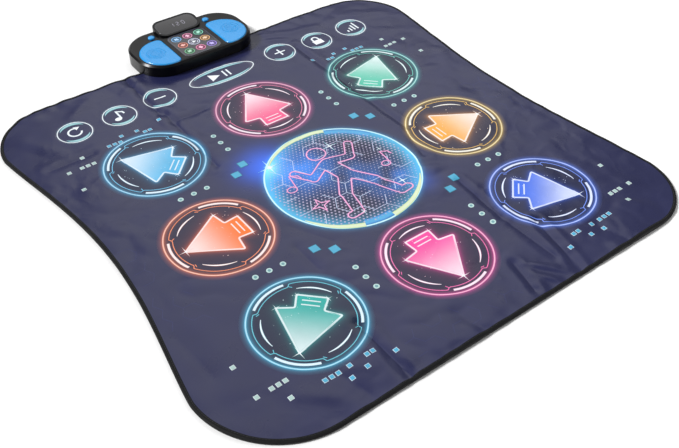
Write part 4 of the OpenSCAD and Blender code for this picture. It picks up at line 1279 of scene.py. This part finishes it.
def build_disc():
    """The centre disc's ink: its rim, arcs, dots, thin lines, stars and the dancing pictogram."""
    ink = Ink()
    cyan, lime = rgb("#8FE6F4"), rgb("#C9DD92")
    blue_band, deep_blue = rgb("#5FC0E8"), rgb("#2C78C8")
    ink.line(oval(0, 0, DISC_R, DISC_R, 220), 3.0, mix(cyan, WHITE, 0.6), cyan, 0.14, closed=True)
    for start, span, width in ((69, 65, 9.5), (249, -44, 9.5), (-88, 53, 9.5)):
        taper = width * (1 - np.linspace(0, 1, 34) ** 2 * 0.85)
        ink.line(arc(0, 0, DISC_R - 3.5, start, span, 33), taper, mix(lime, WHITE, 0.4), lime, 0.22)
    for start, span in ((31, 38), (249, 23)):
        path = arc(0, 0, DISC_R - 9, start, span, 24)
        ink.line(path, 13.0, mix(blue_band, deep_blue, 0.4), deep_blue, 0.1)
    thin = rgb("#C3D2F2")
    side = 24.0
    dice = np.random.default_rng(11)
    for i in range(-4, 5):
        for j in range(-4, 5):
            hx, hy = 1.5 * side * i, 1.732 * side * (j + 0.5 * (i % 2))
            for k in range(3):
                turns = np.radians([60 * k, 60 * k + 60])
                ends = [(hx + side * math.cos(t), hy + side * math.sin(t)) for t in turns]
                if dice.random() < 0.62 and max(math.hypot(*p) for p in ends) < DISC_R - 3:
                    ink.line(dense(ends, 4), 1.1, thin, thin, 0.07)
    pink, edge = mix(PINK_LINE, WHITE, 0.25), rgb("#C24FA6")
    for run, closed in figure_lines():
        ink.line(run, 2.7, mix(PINK_LINE, WHITE, 0.3), edge, 0.2, closed)
    for hx, hy, head, top_x, top_y, flag in ((-92, 20, 9, -80, 52, 13), (80, -18, 8.5, 88, 14, 12)):
        ink.line(oval(hx, hy, head, head * 0.78, 26), 2.3, pink, edge, 0.2, closed=True)
        stem = [
            (hx + head, hy), (top_x + 3, top_y), (top_x + 3 + flag, top_y - 6),
            (top_x + 5 + flag, top_y - 16),
        ]
        ink.line(dense(stem, 3), 2.3, pink, edge, 0.2)
    points = [(r * math.cos(t) - 76, r * math.sin(t) - 40)
              for r, t in zip([17, 5.5] * 4, np.radians(np.arange(8) * 45))]
    ink.line(dense(points, 3, True), 2.2, mix(PINK_LINE, WHITE, 0.3), edge, 0.2, closed=True)
    x, y = 129 * math.cos(math.radians(134)), 129 * math.sin(math.radians(134))
    ink.star(x, y, 24, WHITE, cyan, 0.07)
    ink.star(x, y, 11, WHITE, cyan, 0.16, 45)
    ink.fill(oval(x, y, 4, 4, 22), WHITE, 0.26)
    for x, y, ray in ((28, 78, 17), (71, -73, 16), (-30, -96, 8), (96, 22, 7)):
        ink.star(x, y, ray, WHITE, cyan)
    ink.piece("centre_disc_ink", material_of("ink"), "printed_pvc")

    places = lattice((-DISC_R, -DISC_R), (DISC_R, DISC_R), 7.2)
    r = np.hypot(*places.T)
    size = 0.55 + 0.45 * ramp(np.abs(places.sum(1)), 20, 130)
    places, size = places[r < DISC_R - 8], size[r < DISC_R - 8]
    sizes = np.column_stack([size, size, np.ones(len(size))])
    places = np.column_stack([places, np.zeros(len(places))])
    mesh = blocks("halftone_dots", places, material_of("ink"), 8, 1.75, 0.2, 0.0, sizes)

    def dot_shade(x, y):
        return mix(sheet_print(x, y), rgb("#C4BBDA"), np.full(len(x), 0.72))

    put(drape(mesh, dot_shade))


# ---------- control box ----------

SHELL_PARTS = [
    # piece, CAD nodes, slot, finish, body, edge radius
    ("top_case", ["top_shell"], "black_abs", "abs", MAT, 0.5),
    ("bottom_case", ["bottom_shell"], "black_abs", "abs", MAT, 0.3),
    ("battery_hatch", ["battery_door"], "black_abs", "abs", "battery_door", 0.25),
    ("hatch_screw", ["door_screw"], "plated_steel", "nickel", "battery_door", 0.12),
    ("case_feet", ["rubber_feet"], "rubber", "rubber", MAT, 0.3),
    ("case_screw_set", ["case_screws"], "plated_steel", "nickel", MAT, 0.2),
    ("button_cap_left", ["button_left"], "blue_abs", "accent", "button_left", 0.2),
    ("button_cap_right", ["button_right"], "blue_abs", "accent", "button_right", 0.2),
]
INNER_PARTS = [
    ("contact_film_lower", ["lower_film"], "contact_film", "contact", MAT, 0),
    ("contact_film_upper", ["upper_film"], "contact_film", "contact", MAT, 0),
    ("spacer_layer", ["spacer"], "spacer_foam", "spacer", MAT, 0),
    ("clamp_plate", ["clamp_bar"], "plated_steel", "zinc", MAT, 0.15),
    ("clamp_screw_set", ["clamp_screws"], "plated_steel", "nickel", MAT, 0.2),
    ("ribbon_tail", ["film_tail"], "contact_film", "contact", MAT, 0),
    ("ribbon_socket", ["film_connector"], "white_plastic", "white", MAT, 0.15),
    ("circuit_board", ["main_board"], "circuit_board", "board", MAT, 0.1),
    ("chips_and_capacitors", ["board_components"], "black_parts", "parts", MAT, 0.2),
    ("board_screw_set", ["board_screws"], "plated_steel", "nickel", MAT, 0.2),
    ("light_grid", ["light_baffle"], "white_plastic", "white", MAT, 0.2),
    ("icon_lamps", ["indicator_leds"], "led_epoxy", "led", MAT, 0.2),
    ("digit_module", ["display_module"], "white_plastic", "white", MAT, 0.2),
    ("speaker_screw_set", ["speaker_screws"], "plated_steel", "nickel", MAT, 0.15),
    ("button_boards", ["switch_boards"], "circuit_board", "board", MAT, 0.1),
    ("tactile_switches", ["tact_switches"], "black_parts", "parts", MAT, 0.15),
    ("dry_cells", ["batteries"], "cell_jacket", "jacket", MAT, 0.2),
    ("cell_contacts", ["battery_contacts"], "plated_steel", "nickel", MAT, 0.08),
    ("cell_springs", ["battery_springs"], "plated_steel", "nickel", MAT, 0),
    ("speaker_leads", ["speaker_wires"], "wire_jacket", "wire", MAT, 0),
    ("battery_leads", ["battery_wires"], "wire_jacket", "wire", MAT, 0),
    ("basket_left", ["speaker_frame_left"], "speaker_steel", "zinc", MAT, 0.2),
    ("basket_right", ["speaker_frame_right"], "speaker_steel", "zinc", MAT, 0.2),
    ("magnet_left", ["speaker_magnet_left"], "ferrite", "ferrite", MAT, 0.4),
    ("magnet_right", ["speaker_magnet_right"], "ferrite", "ferrite", MAT, 0.4),
    ("cone_left", ["speaker_cone_left"], "speaker_paper", "paper", MAT, 0),
    ("cone_right", ["speaker_cone_right"], "speaker_paper", "paper", MAT, 0),
]


def build_parts(rows):
    """CAD parts made over as clean, smooth-shaded meshes with rounded edges."""
    for name, nodes, slot, look, body, edge in rows:
        refined(name, nodes, material_of(look), body, edge)


def cut(piece_mesh, cutter_mesh):
    """The first mesh with the second taken out of it."""
    base = bpy.data.objects.new("base", piece_mesh)
    tool = bpy.data.objects.new("tool", cutter_mesh)
    for made in (base, tool):
        bpy.context.collection.objects.link(made)
    modifier = base.modifiers.new("Cut", "BOOLEAN")
    modifier.operation = "DIFFERENCE"
    modifier.solver = "MANIFOLD"
    modifier.object = tool
    depsgraph = bpy.context.evaluated_depsgraph_get()
    mesh = bpy.data.meshes.new_from_object(base.evaluated_get(depsgraph), depsgraph=depsgraph)
    base.modifiers.remove(modifier)
    bpy.data.objects.remove(base)
    bpy.data.objects.remove(tool)
    return mesh


COVER_EDGE = 3.2
COVER_WALL = 1.8


def build_cover(side, settings):
    """A domed speaker cover with two raised rings and its sound holes."""
    word = "right" if side > 0 else "left"
    low, high = extent("speaker_cover_" + word)
    cone_low, cone_high = extent("speaker_cone_" + word)
    middle, size = (low + high) / 2, high - low
    speaker = (cone_low + cone_high) / 2

    def outline(inset):
        w, d = size[0] - 2 * inset, size[1] - 2 * inset
        radii = (49 - inset, 12 - inset) if side > 0 else (12 - inset, 49 - inset)
        return soft_rect(w, d, *radii, 16) + middle[:2]

    rim = outline(0)
    rings = [outline(s) for s in (0.25, 0.8, 1.7, 1.9, COVER_EDGE)]
    groove_r = (9.6, 10.4, 11, 11.6, 12.4, 16.8, 17.5, 18.2, 19)
    circles = [oval(speaker[0], speaker[1], r, r, int(4 * r)) for r in groove_r]
    flat, tris = patch([rim], 1.7, extra=rings + circles)
    away = np.full(len(flat), 1e9)
    for (x0, y0), (x1, y1) in zip(rim, np.roll(rim, -1, 0)):
        if (x0, y0) != (x1, y1):
            away = np.minimum(away, to_segment(flat[:, 0], flat[:, 1], x0, y0, x1, y1)[0])
    from_middle = np.hypot(flat[:, 0] - middle[0], flat[:, 1] - middle[1])
    r = np.hypot(flat[:, 0] - speaker[0], flat[:, 1] - speaker[1])
    rounding = COVER_EDGE * (1 - np.sqrt(np.clip(1 - (1 - np.minimum(away / COVER_EDGE, 1)) ** 2, 0, 1)))
    ridge = 0.55 * (np.exp(-((r - 11) / 0.8) ** 2) + np.exp(-((r - 17.8) / 0.8) ** 2))
    top = high[2] - 0.6 - rounding - 0.7 * (from_middle / 45) ** 2 + ridge
    bottom = np.where(away < COVER_WALL, low[2], top - 2.0)
    points, faces = thicken(flat, tris, top, bottom)
    name = "speaker_cover_" + word + "_dome"
    whole = mesh_of(name, points, faces, material_of("accent"))
    pitch = settings.hole_pitch / MM
    places = lattice((-20, -20), (20, 20), pitch)
    reach = np.hypot(*places.T)
    places = places[(reach < 20.5) & (np.abs(reach - 11) > 1.2) & (np.abs(reach - 17.8) > 1.2)] + speaker[:2]
    places = np.column_stack([places, np.full(len(places), 32.0)])
    holes = blocks(name + "_holes", places, material_of("accent"), 10, settings.hole_r / MM, 14)
    mesh = cut(whole, holes)
    mesh.name = name
    smooth(mesh, 35)
    put(mesh, MAT, ["speaker_cover_" + word])


ICON_COLOURS = [
    ["#2FBF6B", "#FF5FA8", "#9B6BFF"], ["#FF6A2C", "#D8DCFF", "#FFB02E"], ["#49B6FF", "#FF6FB0", "#3FE0B0"],
]
ICON_TURNS = [[225, -90, -45], [180, None, 0], [135, 90, 45]]
ICON_DX, ICON_DY = 25.5, 27.5


def build_panel():
    """The icon panel with its nine printed rings."""
    low, high = extent("indicator_panel")
    middle, size = (low + high) / 2, high - low
    points, faces = plate(size[0], size[1], 16, 16, low[2], high[2], 0.5, 14)
    points[:, :2] += middle[:2]
    put(mesh_of("icon_panel", points, faces, material_of("panel"), sharp=50), MAT,
        ["indicator_panel"])
    ink = Ink()
    border = soft_rect(size[0] - 5, size[1] - 5, 13.5, 13.5, 10) + middle[:2]
    ink.line(without_repeats(border), 0.7, rgb("#5A5F78"), rgb("#3B3F55"), 0.05, closed=True)
    for row in range(3):
        for column in range(3):
            x = middle[0] + (column - 1) * ICON_DX
            y = middle[1] + (row - 1) * ICON_DY
            colour = rgb(ICON_COLOURS[row][column])
            turn = ICON_TURNS[row][column]
            r = 11.5 if turn is None else 9.4
            ink.fill(oval(x, y, r, r, 40), mix(colour, rgb("#0C0D14"), 0.84), 0.04, 4.0)
            ink.line(oval(x, y, r, r, 44), 1.3, mix(colour, WHITE, 0.3), colour, 0.08, closed=True)
            if turn is None:
                for k in range(3):
                    ink.line(arc(x, y, 7.6, 90 + 120 * k - 26, 52, 8), 1.3, WHITE, colour, 0.08)
                ink.fill(turned([(5, 0), (-3, 4.5), (-3, -4.5)], 0, x, y), WHITE, 0.08, 3.0)
            else:
                head = np.array([
                    (6, 0), (-0.6, 5.6), (-1.2, 2.5), (-5, 2.7), (-5, -2.7), (-1.2, -2.5), (-0.6, -5.6),
                ])
                ink.fill(turned(head, turn, x, y), mix(colour, WHITE, 0.45), 0.08, 3.0)
    ink.piece("icon_panel_print", material_of("ink"), "smoked_acrylic",
              under=lambda x, y: np.full(len(x), high[2]))


SEGMENTS = {
    "a": ((-1, 2), (1, 2)), "b": ((1, 2), (1, 0)), "c": ((1, 0), (1, -2)), "d": ((-1, -2), (1, -2)),
    "e": ((-1, 0), (-1, -2)), "f": ((-1, 2), (-1, 0)), "g": ((-1, 0), (1, 0)),
}
DIGITS = ["bc", "abged", "abcdef"]
POD_TILT = 8.5
LENS_T = 2.2


def build_display():
    """The tilted display window, with its faint digits."""
    low, high = extent("display_lens")
    tilt = Matrix.Rotation(math.radians(POD_TILT), 4, "X")
    origin = Vector((low + high) / 2) - tilt @ Vector((0, 0, -0.2 - LENS_T / 2))
    place = Matrix.Translation(origin) @ tilt
    width = high[0] - low[0]
    slope = math.radians(POD_TILT)
    depth = ((high[1] - low[1]) - LENS_T * math.sin(slope)) / math.cos(slope)
    points, faces = plate(width, depth, 16, 16, -0.2 - LENS_T, -0.2, 0.6, 14)
    points = points @ np.array(place.to_3x3()).T + np.array(origin)
    put(mesh_of("display_window", points, faces, material_of("acrylic"), sharp=50), MAT,
        ["display_lens"])
    ink = Ink()
    lit, faint = rgb("#A6A4B4"), rgb("#24232C")
    for k, drawn in enumerate(DIGITS):
        for segment, ends in SEGMENTS.items():
            a, b = np.array(ends, float) * (2.6, 2.7) + (-9 + 12.5 * k, 0)
            way = (b - a) / np.linalg.norm(b - a)
            shade = lit if segment in drawn else faint
            ink.line([a + way * 0.7, b - way * 0.7], 1.1, shade, shade, 0.02)
    border = soft_rect(width - 3.4, depth - 3.4, 14.3, 14.3, 10)
    ink.line(without_repeats(border), 0.6, rgb("#3A3C48"), rgb("#24252E"), 0.02, closed=True)
    ink.piece("display_print", material_of("ink"), "smoked_acrylic", under=lambda x, y: np.full(len(x), -0.2),
              place=place)


# ---------- stage ----------

CAMERA_AT = (-0.713, -0.939, 0.955)
CAMERA_WAY = (0.446, 0.594, -0.669)


def build_stage(settings):
    """A pale floor, soft light and the camera."""
    size = 14.0
    mesh = bpy.data.meshes.new("floor")
    corners = [(-size, -size, -0.0006), (size, -size, -0.0006), (size, size, -0.0006), (-size, size, -0.0006)]
    mesh.from_pydata(corners, [], [(0, 1, 2, 3)])
    paper = finish("Matt white paper backdrop", tuple(settings.floor), (0.9, 0.02), {"IOR": 1.3},
                   (2.0, 0.0), (500, 0.0))
    mesh.materials.append(paper)
    floor = bpy.data.objects.new("floor", mesh)
    bpy.context.collection.objects.link(floor)

    world = bpy.data.worlds.new("Studio")
    bpy.context.scene.world = world
    world.use_nodes = True
    world.node_tree.nodes["Background"].inputs["Color"].default_value = (1, 1, 1, 1)
    world.node_tree.nodes["Background"].inputs["Strength"].default_value = settings.sky
    for name, kind, place, aim, wide, power in (
        ("main_light", "SUN", (-2.2, 0.9, 2.2), (0, 0, 0), math.radians(14), settings.sun),
        ("edge_light", "AREA", (1.5, -1.5, 1.7), (0, 0.4, 0), 0.9, settings.power),
        ("sheen_light", "AREA", (1.0, 1.6, 2.0), (0, 0, 0), 2.4, settings.sheen),
    ):
        lamp = bpy.data.lights.new(name, kind)
        lamp.energy = power
        if kind == "SUN":
            lamp.angle = wide
        else:
            lamp.size = wide
        light = bpy.data.objects.new(name, lamp)
        light.location = place
        light.rotation_euler = (Vector(aim) - Vector(place)).to_track_quat("-Z", "Y").to_euler()
        bpy.context.collection.objects.link(light)
    camera_data = bpy.data.cameras.new("Camera")
    camera_data.lens = settings.lens
    camera_data.sensor_width = 36.0
    camera_data.clip_start = 0.02
    camera_data.clip_end = 60.0
    camera = bpy.data.objects.new("Camera", camera_data)
    camera.location = CAMERA_AT
    camera.rotation_euler = Vector(CAMERA_WAY).to_track_quat("-Z", "Y").to_euler()
    bpy.context.collection.objects.link(camera)
    bpy.context.scene.camera = camera
    bpy.context.scene.view_settings.view_transform = "Standard"


# ---------- operators, panel and registration ----------

class DANCEMAT_OT_stage(bpy.types.Operator):
    """Adds the floor, the lights and the camera"""
    bl_idname = "dancemat.stage"
    bl_label = "Stage"

    def execute(self, context):
        build_stage(context.scene.dance_stage)
        return {"FINISHED"}


class DANCEMAT_OT_foam(bpy.types.Operator):
    """Adds the cushion foam under the printed sheet"""
    bl_idname = "dancemat.foam"
    bl_label = "Cushion foam"

    def execute(self, context):
        build_foam()
        return {"FINISHED"}


class DANCEMAT_OT_sheet(bpy.types.Operator):
    """Adds the printed sheet with its scattered dots and squares"""
    bl_idname = "dancemat.sheet"
    bl_label = "Printed sheet"

    def execute(self, context):
        build_sheet(context.scene.dance_mat)
        return {"FINISHED"}


class DANCEMAT_OT_disc(bpy.types.Operator):
    """Adds the centre disc's ink and the dancing pictogram"""
    bl_idname = "dancemat.disc"
    bl_label = "Centre disc"

    def execute(self, context):
        build_disc()
        return {"FINISHED"}


class DANCEMAT_OT_pads(bpy.types.Operator):
    """Adds the eight arrow pads"""
    bl_idname = "dancemat.pads"
    bl_label = "Arrow pads"

    def execute(self, context):
        for name in PADS:
            build_pad(name, context.scene.dance_mat)
        return {"FINISHED"}


class DANCEMAT_OT_keys(bpy.types.Operator):
    """Adds the seven function keys"""
    bl_idname = "dancemat.keys"
    bl_label = "Function keys"

    def execute(self, context):
        for name in KEYS:
            build_key(name)
        return {"FINISHED"}


class DANCEMAT_OT_binding(bpy.types.Operator):
    """Adds the sewn edge binding and its stitches"""
    bl_idname = "dancemat.binding"
    bl_label = "Edge binding"

    def execute(self, context):
        build_binding(context.scene.dance_mat)
        return {"FINISHED"}


class DANCEMAT_OT_backing(bpy.types.Operator):
    """Adds the grip backing and its dots"""
    bl_idname = "dancemat.backing"
    bl_label = "Grip backing"

    def execute(self, context):
        build_backing(context.scene.dance_mat)
        return {"FINISHED"}


class DANCEMAT_OT_case(bpy.types.Operator):
    """Adds the control box's shells, hatch, feet, screws and buttons"""
    bl_idname = "dancemat.case"
    bl_label = "Control box"

    def execute(self, context):
        build_parts(SHELL_PARTS)
        return {"FINISHED"}


class DANCEMAT_OT_covers(bpy.types.Operator):
    """Adds the two speaker covers"""
    bl_idname = "dancemat.covers"
    bl_label = "Speaker covers"

    def execute(self, context):
        for side in (-1, 1):
            build_cover(side, context.scene.dance_box)
        return {"FINISHED"}


class DANCEMAT_OT_front(bpy.types.Operator):
    """Adds the icon panel and the display window"""
    bl_idname = "dancemat.front"
    bl_label = "Icon panel and display"

    def execute(self, context):
        build_panel()
        build_display()
        return {"FINISHED"}


class DANCEMAT_OT_inside(bpy.types.Operator):
    """Adds the parts inside the mat and the control box"""
    bl_idname = "dancemat.inside"
    bl_label = "Inner parts"

    def execute(self, context):
        build_parts(INNER_PARTS)
        return {"FINISHED"}


STEPS = [
    DANCEMAT_OT_stage, DANCEMAT_OT_foam, DANCEMAT_OT_sheet, DANCEMAT_OT_disc, DANCEMAT_OT_pads,
    DANCEMAT_OT_keys,
    DANCEMAT_OT_binding, DANCEMAT_OT_backing, DANCEMAT_OT_case, DANCEMAT_OT_covers, DANCEMAT_OT_front,
    DANCEMAT_OT_inside,
]


class DANCEMAT_PT_sidebar(bpy.types.Panel):
    """The settings and a button for each piece"""
    bl_idname = "DANCEMAT_PT_sidebar"
    bl_label = "Dance mat"
    bl_space_type = "VIEW_3D"
    bl_region_type = "UI"
    bl_category = "Dance mat"

    def draw(self, context):
        for group in (context.scene.dance_mat, context.scene.dance_box, context.scene.dance_stage):
            for name in group.__annotations__:
                self.layout.prop(group, name)
        for step in STEPS:
            self.layout.operator(step.bl_idname)


GROUPS = {"dance_mat": MatSettings, "dance_box": BoxSettings, "dance_stage": StageSettings}


def register():
    """Registers the classes and attaches the settings to the scene."""
    for made in (*GROUPS.values(), *STEPS, DANCEMAT_PT_sidebar):
        bpy.utils.register_class(made)
    for name, group in GROUPS.items():
        setattr(bpy.types.Scene, name, bpy.props.PointerProperty(type=group))


def unregister():
    """Takes the settings off the scene and unregisters the classes."""
    for name in GROUPS:
        delattr(bpy.types.Scene, name)
    for made in (DANCEMAT_PT_sidebar, *reversed(STEPS), *GROUPS.values()):
        bpy.utils.unregister_class(made)


def main():
    register()
    for step in STEPS:
        getattr(bpy.ops.dancemat, step.bl_idname.split(".")[1])()


if __name__ == "__main__":
    main()
